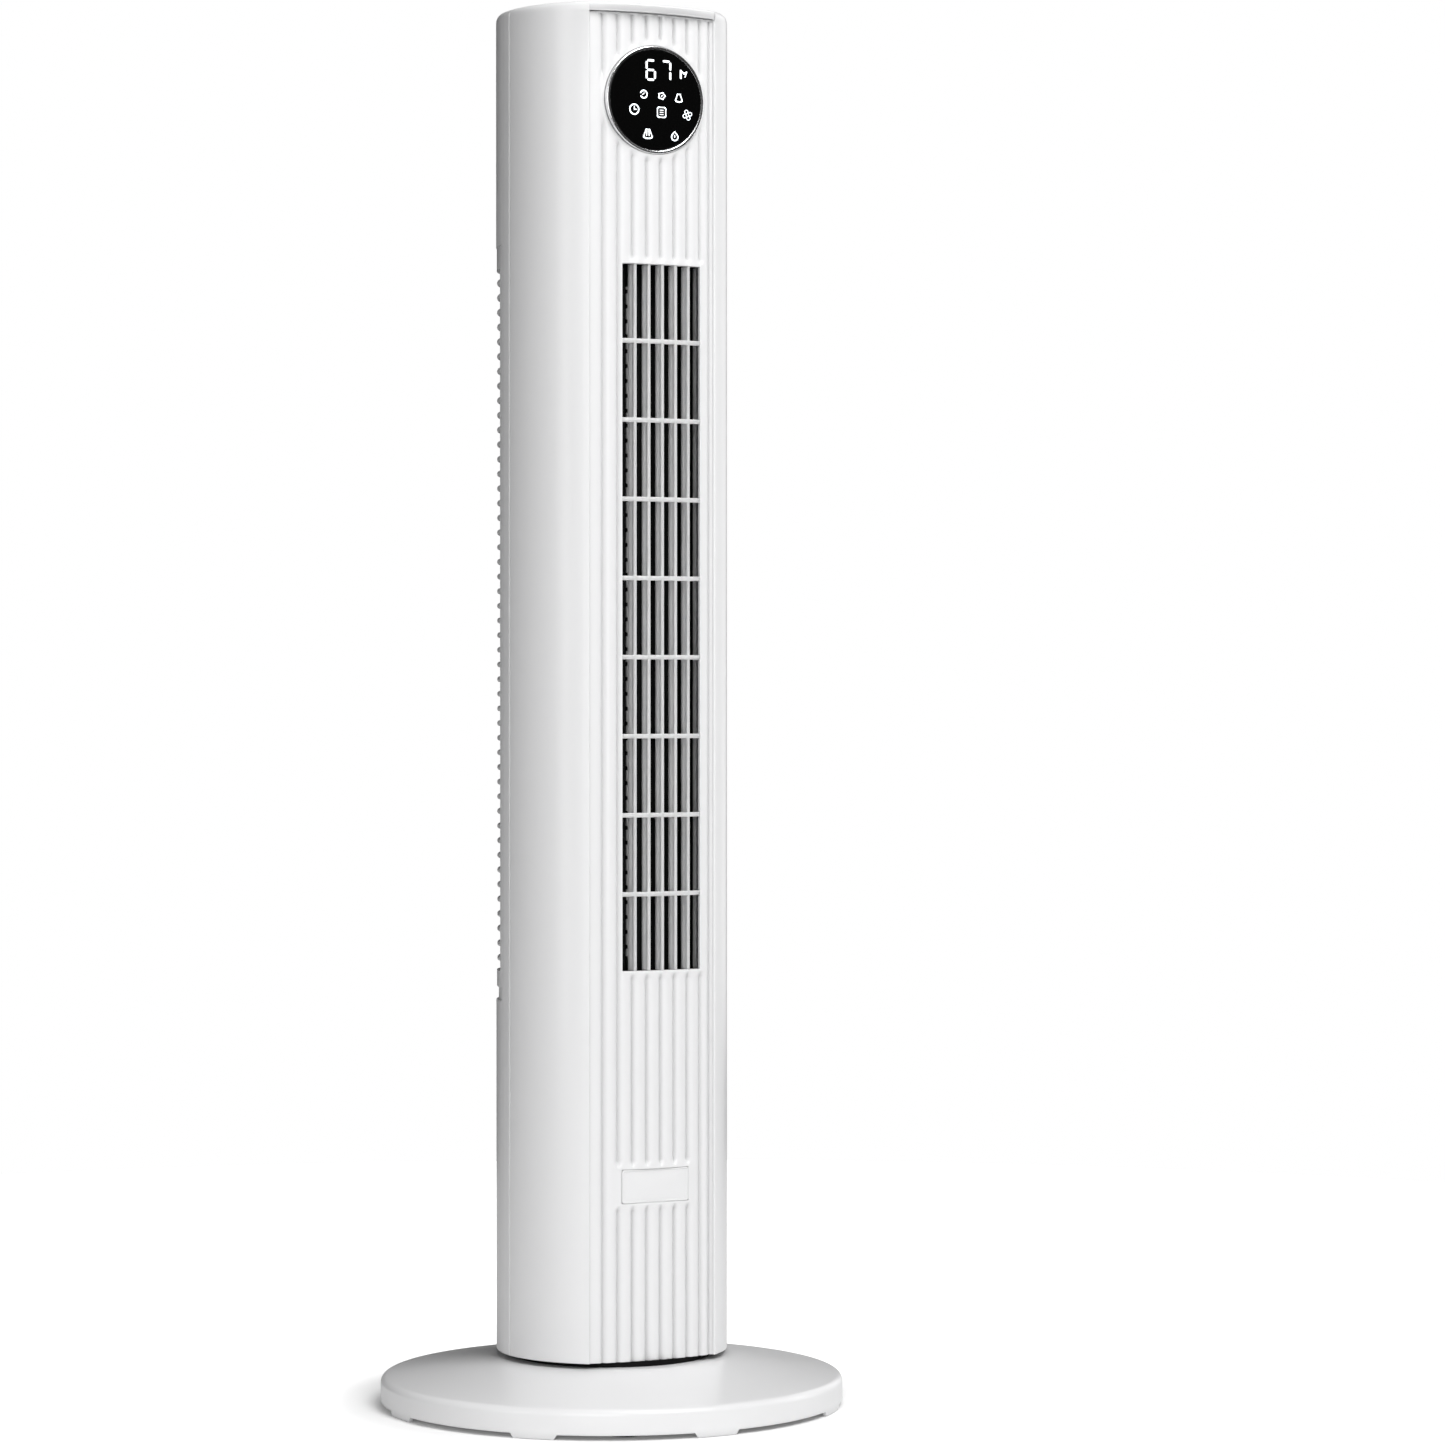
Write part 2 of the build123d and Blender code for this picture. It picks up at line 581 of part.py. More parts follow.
def control_glass():
    return rod_y(GLASS_R, -64.9, -63.2, 0, DISC_Z)


def display_carrier():
    cup = rod_y(38.0, -61.0, -53.0, 0, DISC_Z)
    cup &= behind_panel(PANEL_THICK + JOIN_GAP, DISC_Z - 50, DISC_Z + 50)
    cup -= rod_y(RING_R + JOIN_GAP, -70, -58.9, 0, DISC_Z)
    return cup - rod_y(30.2, -70, -55.0, 0, DISC_Z)


def display_board():
    return rod_y(30.0, -58.6, -57.0, 0, DISC_Z)


def led_display():
    digits = block(-9, 16, -63.0, -58.6, DISC_Z + 10, DISC_Z + 25.5)
    icon_guide = block(-20, 27, -62.0, -58.6, DISC_Z - 26, DISC_Z + 6)
    return group([digits, icon_guide & rod_y(29.0, -65, -55, 0, DISC_Z)])


# ---------------------------------------------------------------- rear grille
def rear_grille():
    """Curved frame with uprights, and a column of slats set just below both of its faces."""
    r_out = COLUMN_R - GRILLE_INSET
    r_in = r_out - GRILLE_DEEP
    slats_z0 = SLAT_TOP_Z - SLAT_COUNT * SLAT_PITCH + SLAT_TALL / 2
    slats_z1 = SLAT_TOP_Z + SLAT_PITCH - SLAT_TALL / 2
    frame = arc_bar(r_out, r_in, GRILLE_Z0 + JOIN_GAP, GRILLE_Z1, GRILLE_HALF_ANGLE)
    window_pitch = (2 * SLOT_HALF_ANGLE + UPRIGHT_ANGLE) / WINDOW_COUNT
    for i in range(WINDOW_COUNT):
        centre = (i - (WINDOW_COUNT - 1) / 2) * window_pitch
        frame -= arc_bar(r_out + 2, r_in - 2, slats_z0, slats_z1, (window_pitch - UPRIGHT_ANGLE) / 2, centre)
    slats = []
    for i in range(SLAT_COUNT):
        z = SLAT_TOP_Z - i * SLAT_PITCH
        slats.append(arc_bar(r_out - SLAT_INSET, r_in + SLAT_INSET, z - SLAT_TALL / 2, z + SLAT_TALL / 2,
                             SLOT_HALF_ANGLE + 0.5))
    return frame + slats


# ---------------------------------------------------------------- blower
def blower_wheel():
    inner_r = WHEEL_R - BLADE_CHORD
    lean = 8.0
    tip = (WHEEL_R - 0.6, 0)
    root_angle = radians(-lean)
    root = (inner_r * cos(root_angle), inner_r * sin(root_angle))
    belly = ((tip[0] + root[0]) / 2 + 0.4, (tip[1] + root[1]) / 2 + 2.0)
    blade_line = ThreePointArc(root, belly, tip)
    blade = Pos(0, 0, WHEEL_Z0) * extrude(trace(blade_line, BLADE_THICK), WHEEL_Z1 - WHEEL_Z0)
    ring_thick = 1.6
    rings = []
    for i in range(1, WHEEL_SEGMENTS):
        z = WHEEL_Z0 + i * (WHEEL_Z1 - WHEEL_Z0) / WHEEL_SEGMENTS
        rings.append(tube(WHEEL_R, inner_r - 1.5, z - ring_thick / 2, z + ring_thick / 2))
    low_hub = disc(WHEEL_R, WHEEL_Z0, WHEEL_Z0 + 3) + disc(11, WHEEL_Z0, WHEEL_Z0 + 18)
    high_hub = disc(WHEEL_R, WHEEL_Z1 - 3, WHEEL_Z1) + disc(9, WHEEL_Z1 - 14, WHEEL_Z1)
    wheel = low_hub + rings + [high_hub] + around(blade, BLADE_COUNT)
    wheel -= disc(SHAFT_R, WHEEL_Z0 - 1, WHEEL_Z0 + 16)
    return wheel - disc(SHAFT_R, WHEEL_Z1 - 12, WHEEL_Z1 + 1)


def motor_shaft():
    return disc(SHAFT_R, MOTOR_BOTTOM + 8, WHEEL_Z0 + 16)


def top_axle():
    return disc(SHAFT_R, WHEEL_Z1 - 12, BRACKET_Z + 8)


def motor_ear_spots():
    ring = [radians(a) for a in MOTOR_EAR_ANGLES]
    return [(MOTOR_EAR_RING_R * cos(a), MOTOR_EAR_RING_R * sin(a)) for a in ring]


def fan_motor():
    """Shaded-pole motor: a lamination stack between two domed end bells."""
    stack = disc(38, MOTOR_BOTTOM + 14, MOTOR_TOP - 14)
    bells = disc(26, MOTOR_BOTTOM + 4, MOTOR_TOP - 3) + disc(12, MOTOR_BOTTOM, MOTOR_TOP)
    ears = [disc(6, MOTOR_TOP - 14, MOTOR_TOP - 8, x, y) for x, y in motor_ear_spots()]
    motor = stack + bells + ears
    motor -= disc(SHAFT_R + RUN_CLEAR, MOTOR_BOTTOM + 7, MOTOR_TOP + 1)
    return motor - [disc(SCREW_HOLE_R, MOTOR_TOP - 20, MOTOR_TOP - 7, x, y) for x, y in motor_ear_spots()]


def motor_grommets():
    return group([tube(6, 3.0, MOTOR_TOP - 8, MOTOR_TOP - 2, x, y) for x, y in motor_ear_spots()])


def motor_plate():
    plate = shelf(MOTOR_PLATE_Z, MOTOR_PLATE_Z + SHELF_THICK)
    plate += [disc(6, MOTOR_TOP - 2, MOTOR_PLATE_Z, x, y) for x, y in motor_ear_spots()]
    plate -= disc(13, MOTOR_PLATE_Z - 1, MOTOR_PLATE_Z + 9)
    return plate - [disc(SCREW_HOLE_R, MOTOR_TOP - 3, MOTOR_PLATE_Z + 9, x, y) for x, y in motor_ear_spots()]


def motor_screws():
    length = MOTOR_PLATE_Z + SHELF_THICK - (MOTOR_TOP - 19)
    return group([upright_screw(length, MOTOR_PLATE_Z + SHELF_THICK, x, y) for x, y in motor_ear_spots()])


def bearing_bracket():
    bracket = shelf(BRACKET_Z, BRACKET_Z + SHELF_THICK) + disc(14, BRACKET_Z, BRACKET_Z + 9)
    return bracket - disc(10, BRACKET_Z - 1, BRACKET_Z + 10)


def bush_rubber():
    return tube(10, 7, BRACKET_Z, BRACKET_Z + 9)


def upper_bush():
    return tube(7, SHAFT_R + RUN_CLEAR, BRACKET_Z - 0.5, BRACKET_Z + 9.5)


def duct_scroll():
    """Spiral wall that widens from the wheel's back to the right edge of the outlet."""
    steps = 8

    def wall_points(extra):
        points = []
        for i in range(steps + 1):
            angle = radians(SCROLL_START_DEG + (SCROLL_END_DEG - SCROLL_START_DEG) * i / steps)
            radius = SCROLL_START_R + (SCROLL_END_R - SCROLL_START_R) * i / steps + extra
            points.append((radius * cos(angle), radius * sin(angle)))
        return points

    inner = wall_points(0)
    outer = wall_points(DUCT_THICK)
    outline = Spline(*inner) + Line(inner[-1], outer[-1]) + Spline(*outer) + Line(outer[0], inner[0])
    return Pos(0, 0, DUCT_Z0) * extrude(make_face(outline), DUCT_Z1 - DUCT_Z0)


def duct_tongue():
    """Wall from the left edge of the outlet to the wheel and back to the side of the column."""
    route = Polyline((-27.5, -56.0), (-17.0, -51.0), (-38.0, -36.0), (-59.3, -40.5))
    wall = Pos(0, 0, DUCT_Z0) * extrude(trace(route, DUCT_THICK), DUCT_Z1 - DUCT_Z0)
    return wall & block(-80, COMB_X0, -80, 0, DUCT_Z0, DUCT_Z1)


def tongue_comb():
    """Toothed strip on the tongue's edge, its teeth pointing at the left of the outlet."""
    strip = block(COMB_X0, COMB_X1, COMB_Y - 0.8, COMB_Y + 0.8, COMB_Z0 - 6, COMB_Z1 + 6)
    count = round((COMB_Z1 - COMB_Z0) / SLAT_PITCH) + 1
    for i in range(count):
        z = COMB_Z0 + i * SLAT_PITCH
        low, high = z - COMB_GAP / 2, z + COMB_GAP / 2
        strip -= block(COMB_X0 - 1, COMB_X1 - COMB_SPINE, COMB_Y - 2, COMB_Y + 2, low, high)
    return strip


# ---------------------------------------------------------------- electronics
def board_bracket():
    upright = block(-28, 28, BOARD_Y + 2, BOARD_Y + 3.8, FLOOR_TOP, BOARD_Z1 + 4)
    foot = block(-28, 28, BOARD_Y - 6, BOARD_Y + 3.8, FLOOR_TOP, FLOOR_TOP + 2)
    pads = []
    for z in (BOARD_Z0 + 5, BOARD_Z1 - 5):
        pads += mirrored(rod_y(3, BOARD_Y, BOARD_Y + 2.5, 20, z))
    return upright + foot + pads


def power_board():
    """Circuit board with its capacitor, relay, connectors and coil."""
    board = block(-25, 25, BOARD_Y - 1.6, BOARD_Y, BOARD_Z0, BOARD_Z1)
    front = BOARD_Y - 1.6
    capacitor = disc(6, BOARD_Z0 + 8, BOARD_Z0 + 30, -14, front - 6.5) + block(
        -17, -11, front - 4, front, BOARD_Z0 + 10, BOARD_Z0 + 28)
    relay = block(2, 18, front - 14, front, BOARD_Z0 + 10, BOARD_Z0 + 28)
    coil = rod_y(9, front - 12, front, -10, BOARD_Z1 - 20)
    connectors = [block(6, 18, front - 8, front, z, z + 8) for z in (BOARD_Z1 - 34, BOARD_Z1 - 18)]
    return board + [capacitor, relay, coil] + connectors


# ---------------------------------------------------------------- every node
NODES = [
    base_cover, base_plate, base_screws, rubber_feet, pivot_post, post_screws, thrust_ring, cord_gland,
    swing_gear, gear_screws, swing_pinion, pinion_shaft, swing_motor, swing_motor_screws,
    front_housing, rear_housing, handle_cup, housing_screws, top_cover, column_floor,
    front_panel, badge_plate, outlet_grille, bezel_ring, control_glass, display_carrier, display_board,
    led_display, rear_grille, blower_wheel, motor_shaft, top_axle, fan_motor, motor_grommets, motor_plate,
    motor_screws, bearing_bracket, bush_rubber, upper_bush, duct_scroll, duct_tongue, tongue_comb,
    board_bracket, power_board,
]

os.makedirs("parts", exist_ok=True)
for build_node in NODES:
    export_step(build_node(), f"parts/{build_node.__name__}.step")
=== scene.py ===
"""Looks of the tower fan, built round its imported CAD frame.

Lengths in this file are in millimetres of the row frame, and each mesh is scaled to metres when it is made.
"""
import json
import math

import bmesh
import bpy
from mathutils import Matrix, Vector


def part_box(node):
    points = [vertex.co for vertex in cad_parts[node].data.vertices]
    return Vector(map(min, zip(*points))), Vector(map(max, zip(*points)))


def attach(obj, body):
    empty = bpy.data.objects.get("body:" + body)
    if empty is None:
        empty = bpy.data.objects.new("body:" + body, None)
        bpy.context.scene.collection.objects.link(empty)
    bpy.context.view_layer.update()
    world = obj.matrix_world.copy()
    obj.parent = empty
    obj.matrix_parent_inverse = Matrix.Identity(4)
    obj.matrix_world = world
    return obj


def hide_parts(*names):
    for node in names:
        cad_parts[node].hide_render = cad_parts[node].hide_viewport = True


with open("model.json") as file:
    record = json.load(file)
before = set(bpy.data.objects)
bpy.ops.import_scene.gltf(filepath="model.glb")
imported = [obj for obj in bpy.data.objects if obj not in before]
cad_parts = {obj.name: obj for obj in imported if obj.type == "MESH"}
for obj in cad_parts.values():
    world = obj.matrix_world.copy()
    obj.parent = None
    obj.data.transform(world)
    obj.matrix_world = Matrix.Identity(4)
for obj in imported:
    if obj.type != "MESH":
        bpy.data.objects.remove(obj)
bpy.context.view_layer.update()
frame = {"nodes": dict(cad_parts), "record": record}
MM = 0.001


# ---------------------------------------------------------------- sizes read from the frame
def low(node, axis):
    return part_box(node)[0][axis] / MM


def high(node, axis):
    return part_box(node)[1][axis] / MM


X, Y, Z = 0, 1, 2
BASE_R = high("base_cover", X)
CONE_TOP = high("base_cover", Z)
COLUMN_R = high("rear_housing", X)
COLUMN_Z = low("rear_housing", Z)
RIM_TOP = high("rear_housing", Z)
TOTAL_Z = high("top_cover", Z)
SHELL_FRONT_Y = low("front_housing", Y)
PANEL_HALF = high("front_panel", X)
PANEL_TOP = high("front_panel", Z)
PANEL_FRONT_Y = low("front_panel", Y)
RING_R = high("bezel_ring", X)
RING_FRONT_Y = low("bezel_ring", Y)
DISC_Z = (low("bezel_ring", Z) + high("bezel_ring", Z)) / 2
GLASS_R = high("control_glass", X)
GLASS_FRONT_Y = low("control_glass", Y)
BADGE_X = (low("badge_plate", X), high("badge_plate", X))
BADGE_Z = (low("badge_plate", Z), high("badge_plate", Z))
INTAKE_Z = (low("rear_grille", Z), high("rear_grille", Z))
CUP_X = high("handle_cup", X)
CUP_Z = (low("handle_cup", Z), high("handle_cup", Z))
CUP_Y = low("handle_cup", Y)

# ---------------------------------------------------------------- sizes of the mouldings
WALL = 2.8
PANEL_THICK = 3.0
PANEL_BOW_R = 195.0
FIT_GAP = 0.1
PANEL_GAP = 0.3
OPEN_HALF = PANEL_HALF + PANEL_GAP
SEAM_AZIMUTH = 93.0
SEAM_GAP = 0.1
GROOVE_X0 = -35.6
GROOVE_PITCH = 10.0
GROOVE_COUNT = 8
GROOVE_EDGE_X = 42.3
GROOVE_XS = [GROOVE_X0 + i * GROOVE_PITCH for i in range(GROOVE_COUNT)] + [GROOVE_EDGE_X]
GROOVE_HALF = 5.0
GROOVE_DEPTH = 2.7
GROOVE_POWER = 2.4
FLANGE = 6.0
FLANGE_THICK = 2.0
OUT_X = (low("outlet_grille", X) + FLANGE, high("outlet_grille", X) - FLANGE)
OUT_Z = (low("outlet_grille", Z) + FLANGE, high("outlet_grille", Z) - FLANGE)
OUT_ROWS = 9
FIN_COUNT = 5
FIN_HALF = 0.9
SLOT_WIDE = (OUT_X[1] - OUT_X[0] - 2 * FIN_COUNT * FIN_HALF) / (FIN_COUNT + 1)
FIN_XS = [OUT_X[0] + (i + 1) * SLOT_WIDE + (2 * i + 1) * FIN_HALF for i in range(FIN_COUNT)]
FIN_DEPTH = 8.5
FIN_BACK = 1.5
FIN_ROUND = 0.55
BAR_HALF = 1.45
BAR_DEPTH = 3.0
BAR_ROUND = 0.7
CHEEK_THICK = 1.5
CHEEK_DEPTH = 10.5
CUP_WALL = 2.0
SLAT_COUNT = 47
SLAT_PITCH = 9.66
SLAT_TOP_Z = 738.7
SLAT_HALF = 1.9
SLAT_DEEP = 3.6
SLAT_INSET = 0.2
SLAT_ROUND = 1.7
GRILLE_INSET = 0.4
WINDOW_COUNT = 4
UPRIGHT_ANGLE = 1.4
GRILLE_HALF_ANGLE = 82.0
SLOT_HALF_ANGLE = 79.0
GRILLE_STEP_TALL = 8.2
BADGE_CORNER = 1.6
BADGE_PROUD = 0.4
POCKET_DEEP = 1.0


# ---------------------------------------------------------------- camera
def look_from(azimuth, distance, height, pan, pitch, lens):
    """Camera aimed at the column's axis, then panned and pitched a little, in degrees."""
    data = bpy.data.cameras.new("camera")
    data.lens = lens
    data.sensor_width = 36.0
    data.clip_start = 0.05
    data.clip_end = 50.0
    camera = bpy.data.objects.new("camera", data)
    bpy.context.scene.collection.objects.link(camera)
    turn = math.radians(azimuth)
    camera.location = (math.sin(turn) * distance, -math.cos(turn) * distance, height)
    camera.rotation_euler = (math.radians(90 + pitch), 0.0, turn + math.radians(pan))
    bpy.context.scene.camera = camera


look_from(azimuth=-26.0, distance=2.906, height=0.470, pan=-1.442, pitch=-0.409, lens=109.6)


# ---------------------------------------------------------------- mesh helpers
SHARP_DEG = 35.0


def make_object(name, verts, faces):
    """Mesh object from points in millimetres, with outward normals and smooth curved faces."""
    mesh = bpy.data.meshes.new(name)
    mesh.from_pydata([tuple(c * MM for c in v) for v in verts], [], faces)
    work = bmesh.new()
    work.from_mesh(mesh)
    bmesh.ops.remove_doubles(work, verts=work.verts, dist=1e-7)
    bmesh.ops.recalc_face_normals(work, faces=work.faces)
    work.to_mesh(mesh)
    work.free()
    finish_shading(mesh)
    piece = bpy.data.objects.new(name, mesh)
    bpy.context.scene.collection.objects.link(piece)
    return piece


def finish_shading(mesh):
    mesh.shade_smooth()
    mesh.set_sharp_from_angle(angle=math.radians(SHARP_DEG))


def thick_grid(us, vs, outer, inner, solid, wrap=False):
    """Points and faces of a thick curved sheet with holes: outer and inner map (u, v) to its two faces,
    and solid says of a cell's middle whether it has material. With wrap the sheet closes on itself
    along u."""
    nu = len(us)
    nv = len(vs)
    verts = [outer(u, v) for v in vs for u in us] + [inner(u, v) for v in vs for u in us]
    back = nu * nv
    columns = nu if wrap else nu - 1
    filled = {}
    for i in range(columns):
        u_next = us[(i + 1) % nu] + (360.0 if wrap and i == nu - 1 else 0.0)
        for j in range(nv - 1):
            filled[i, j] = solid((us[i] + u_next) / 2, (vs[j] + vs[j + 1]) / 2)
    faces = []
    for (i, j), full in filled.items():
        if not full:
            continue
        nxt = (i + 1) % nu
        a, b = j * nu + i, j * nu + nxt
        c, d = (j + 1) * nu + nxt, (j + 1) * nu + i
        faces.append((a, b, c, d))
        faces.append((a + back, d + back, c + back, b + back))
        left = (i - 1) % nu if wrap else i - 1
        right = (i + 1) % nu if wrap else i + 1
        if not filled.get((left, j)):
            faces.append((a, d, d + back, a + back))
        if not filled.get((right, j)):
            faces.append((b, b + back, c + back, c))
        if not filled.get((i, j - 1)):
            faces.append((a, a + back, b + back, b))
        if not filled.get((i, j + 1)):
            faces.append((d, c, c + back, d + back))
    used = sorted({k for face in faces for k in face})
    place = {k: n for n, k in enumerate(used)}
    return [verts[k] for k in used], [tuple(place[k] for k in face) for face in faces]


def merge(*meshes):
    """Several (points, faces) pairs as one."""
    verts = []
    faces = []
    for more_verts, more_faces in meshes:
        start = len(verts)
        verts += more_verts
        faces += [tuple(k + start for k in face) for face in more_faces]
    return verts, faces


def loft(loops, wrap_ends=False):
    """Skin through closed loops with the same number of points; the end loops are capped, or joined."""
    count = len(loops[0])
    verts = [p for loop in loops for p in loop]
    faces = []
    rings = len(loops) if wrap_ends else len(loops) - 1
    for j in range(rings):
        k = (j + 1) % len(loops)
        for i in range(count):
            n = (i + 1) % count
            faces.append((j * count + i, j * count + n, k * count + n, k * count + i))
    if not wrap_ends:
        faces.append(tuple(reversed(range(count))))
        faces.append(tuple(range((len(loops) - 1) * count, len(loops) * count)))
    return verts, faces


def lathe_y(profile, centre_z, steps):
    """Closed ring turned about an axis along Y through (0, centre_z); profile is (radius, y) points."""
    loops = []
    for i in range(steps):
        turn = 2 * math.pi * i / steps
        loops.append([(r * math.cos(turn), y, centre_z + r * math.sin(turn)) for r, y in profile])
    return loft(loops, wrap_ends=True)


def lathe_z(profile, centre, steps):
    """Solid of revolution about an upright axis; profile is (radius, z) points from axis to axis."""
    loops = []
    for r, z in profile:
        radius = max(r, 1e-3)
        turns = [2 * math.pi * i / steps for i in range(steps)]
        loops.append([(centre[0] + radius * math.cos(t), centre[1] + radius * math.sin(t), z) for t in turns])
    return loft(loops)


ROUND_STEPS = 4


def round_lines(edge, inward, radius):
    """Grid lines for a rounded edge: dense at the edge, and thinning over its radius."""
    angles = [math.pi / 2 * k / ROUND_STEPS for k in range(ROUND_STEPS + 1)]
    return [edge + inward * radius * (1 - math.cos(a)) for a in angles]


def round_drop(distance, radius):
    """How far a rounded edge falls below its face, at a distance inward from the edge."""
    if distance >= radius:
        return 0.0
    reach = radius - max(distance, 0.0)
    return radius - math.sqrt(max(radius**2 - reach**2, 0.0))


def span(start, stop, step):
    """Evenly spaced grid lines from start to stop, both included."""
    count = max(1, round(abs(stop - start) / step))
    return [start + (stop - start) * i / count for i in range(count + 1)]


def lines(*groups):
    """Sorted grid lines without near repeats."""
    kept = []
    for value in sorted(v for group in groups for v in group):
        if not kept or value - kept[-1] > 1e-4:
            kept.append(value)
    return kept


def smooth(t):
    t = min(1.0, max(0.0, t))
    return t * t * (3 - 2 * t)


def show(name, mesh_data, body, slot, *nodes):
    """Makes a piece that rides on a body and stands for CAD nodes."""
    piece = make_object(name, *mesh_data)
    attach(piece, body)
    if nodes:
        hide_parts(*nodes)
    piece.data.materials.append(MATERIALS[slot])
    return piece


# ---------------------------------------------------------------- materials
# Reach and sample count of the painted shade in grooves and seams.
CREVICE_REACH = 6.0
CREVICE_SAMPLES = 8
CLOUD_SCALE = 9.0
CLOUD_DETAIL = 4.0
GRAIN_DETAIL = 3.0


def new_material(name):
    material = bpy.data.materials.new(name)
    material.use_nodes = True
    nodes = material.node_tree.nodes
    return material, nodes, material.node_tree.links, nodes["Principled BSDF"]


def paint_crevice_shade(nodes, links, color, base_color, depth):
    """Painted shade: dims a colour a little in grooves and seams, the more the surface there is closed in."""
    hollow = nodes.new("ShaderNodeAmbientOcclusion")
    hollow.samples = CREVICE_SAMPLES
    hollow.inputs["Distance"].default_value = CREVICE_REACH * MM
    shade = nodes.new("ShaderNodeMapRange")
    shade.inputs["From Min"].default_value = 0.5
    shade.inputs["To Min"].default_value = 1 - depth
    links.new(hollow.outputs["AO"], shade.inputs["Value"])
    dim = nodes.new("ShaderNodeVectorMath")
    dim.operation = "SCALE"
    links.new(color, dim.inputs["Vector"])
    links.new(shade.outputs["Result"], dim.inputs["Scale"])
    links.new(dim.outputs["Vector"], base_color)


def moulded(name, color, roughness, grain_mm, grain_depth, mottle=0.02, uneven=0.1, crevice_shade=0.0, **sockets):
    """Plastic, rubber, glass or metal with a fine surface grain, a faint cloudy colour and uneven gloss, and,
    where asked, painted shade in its grooves and seams.
    Other sockets of the shader are set by name."""
    material, nodes, links, shader = new_material(name)
    place = nodes.new("ShaderNodeTexCoord").outputs["Object"]

    cloud = nodes.new("ShaderNodeTexNoise")
    cloud.inputs["Scale"].default_value = CLOUD_SCALE
    cloud.inputs["Detail"].default_value = CLOUD_DETAIL
    links.new(place, cloud.inputs["Vector"])
    tint = nodes.new("ShaderNodeMix")
    tint.data_type = "RGBA"
    tint.inputs["A"].default_value = (*[c * (1 - mottle) for c in color], 1)
    tint.inputs["B"].default_value = (*[min(1.0, c * (1 + mottle)) for c in color], 1)
    links.new(cloud.outputs["Fac"], tint.inputs["Factor"])
    links.new(tint.outputs["Result"], shader.inputs["Base Color"])
    # Painted shade: the colour is dimmed in grooves and seams.
    if crevice_shade:
        paint_crevice_shade(nodes, links, tint.outputs["Result"], shader.inputs["Base Color"], crevice_shade)

    gloss = nodes.new("ShaderNodeMapRange")
    gloss.inputs["To Min"].default_value = roughness * (1 - uneven)
    gloss.inputs["To Max"].default_value = roughness * (1 + uneven)
    links.new(cloud.outputs["Fac"], gloss.inputs["Value"])
    links.new(gloss.outputs["Result"], shader.inputs["Roughness"])

    grain = nodes.new("ShaderNodeTexNoise")
    grain.inputs["Scale"].default_value = 1.0 / (grain_mm * MM)
    grain.inputs["Detail"].default_value = GRAIN_DETAIL
    links.new(place, grain.inputs["Vector"])
    bump = nodes.new("ShaderNodeBump")
    bump.inputs["Strength"].default_value = 1.0
    bump.inputs["Distance"].default_value = grain_depth * MM
    links.new(grain.outputs["Fac"], bump.inputs["Height"])
    links.new(bump.outputs["Normal"], shader.inputs["Normal"])
    for socket, value in sockets.items():
        shader.inputs[socket.replace("_", " ")].default_value = value
    return material


def lit(name, color, strength):
    """Lit display legend."""
    material, _, _, shader = new_material(name)
    shader.inputs["Base Color"].default_value = (*color, 1)
    shader.inputs["Emission Color"].default_value = (*color, 1)
    shader.inputs["Emission Strength"].default_value = strength
    return material


# The white plastics are even in colour and gloss; the outlet grille's is thin enough to let light through,
# and is also lighter in colour than the other white plastic, as painted light on its shaded slot walls.
EVEN = {"mottle": 0.002, "uneven": 0.02}
LIGHTENED_THIN_WHITE = moulded("thin_white_plastic_lightened", (0.93, 0.93, 0.935), 0.35, 0.5, 0.004, **EVEN,
                     Subsurface_Weight=0.9, Subsurface_Radius=(1, 1, 1), Subsurface_Scale=0.02)
MATERIALS = {
    # White plastic with painted shade in its grooves and seams.
    "white_plastic": moulded("white_plastic", (0.79, 0.79, 0.795), 0.28, 0.5, 0.004, **EVEN, crevice_shade=0.18),
    "grey_plastic": moulded("grey_plastic", (0.36, 0.36, 0.36), 0.5, 0.5, 0.01),
    "black_plastic": moulded("black_plastic", (0.004, 0.004, 0.004), 0.7, 0.5, 0.01, Specular_IOR_Level=0.12),
    "acetal": moulded("acetal", (0.74, 0.72, 0.66), 0.35, 0.4, 0.003),
    "black_glass": moulded("black_glass", (0.002, 0.002, 0.002), 0.05, 20.0, 0.002, Specular_IOR_Level=0.25),
    "chrome": moulded("chrome", (0.86, 0.86, 0.87), 0.22, 0.3, 0.0005, Metallic=1.0),
    "steel": moulded("steel", (0.56, 0.56, 0.57), 0.32, 0.15, 0.003, Metallic=1.0),
    "motor_steel": moulded("motor_steel", (0.16, 0.17, 0.18), 0.45, 0.4, 0.01, Metallic=0.7),
    "bronze": moulded("bronze", (0.50, 0.33, 0.14), 0.4, 0.2, 0.006, Metallic=1.0),
    "rubber": moulded("rubber", (0.022, 0.022, 0.022), 0.8, 0.4, 0.02),
    "circuit_board": moulded("circuit_board", (0.02, 0.13, 0.05), 0.35, 1.2, 0.02, mottle=0.2),
    "display": lit("display", (0.95, 0.98, 1.0), 0.75),
}

for subpart in frame["record"]["subparts"]:
    cad = frame["nodes"][subpart["node"]]
    cad.data.materials.clear()
    cad.data.materials.append(MATERIALS[subpart["material_slot"]])
    for face in cad.data.polygons:
        face.material_index = 0


# ---------------------------------------------------------------- the column's plan
CORNER_R = 4.0
BOW_RISE = -SHELL_FRONT_Y - math.sqrt(COLUMN_R**2 - OPEN_HALF**2)
BOW_R = (OPEN_HALF**2 + BOW_RISE**2) / (2 * BOW_RISE)
BOW_Y = SHELL_FRONT_Y + BOW_R
CORNER_Y = ((COLUMN_R - CORNER_R) ** 2 - (BOW_R - CORNER_R) ** 2 + BOW_Y**2) / (2 * BOW_Y)
CORNER_X = math.sqrt((COLUMN_R - CORNER_R) ** 2 - CORNER_Y**2)
ROUND_FROM = math.degrees(math.atan2(CORNER_X, -CORNER_Y))
BOW_TO = math.degrees(math.atan2(CORNER_X, BOW_Y - CORNER_Y))
OPEN_AT = math.degrees(math.asin((OPEN_HALF - CORNER_X) / CORNER_R))


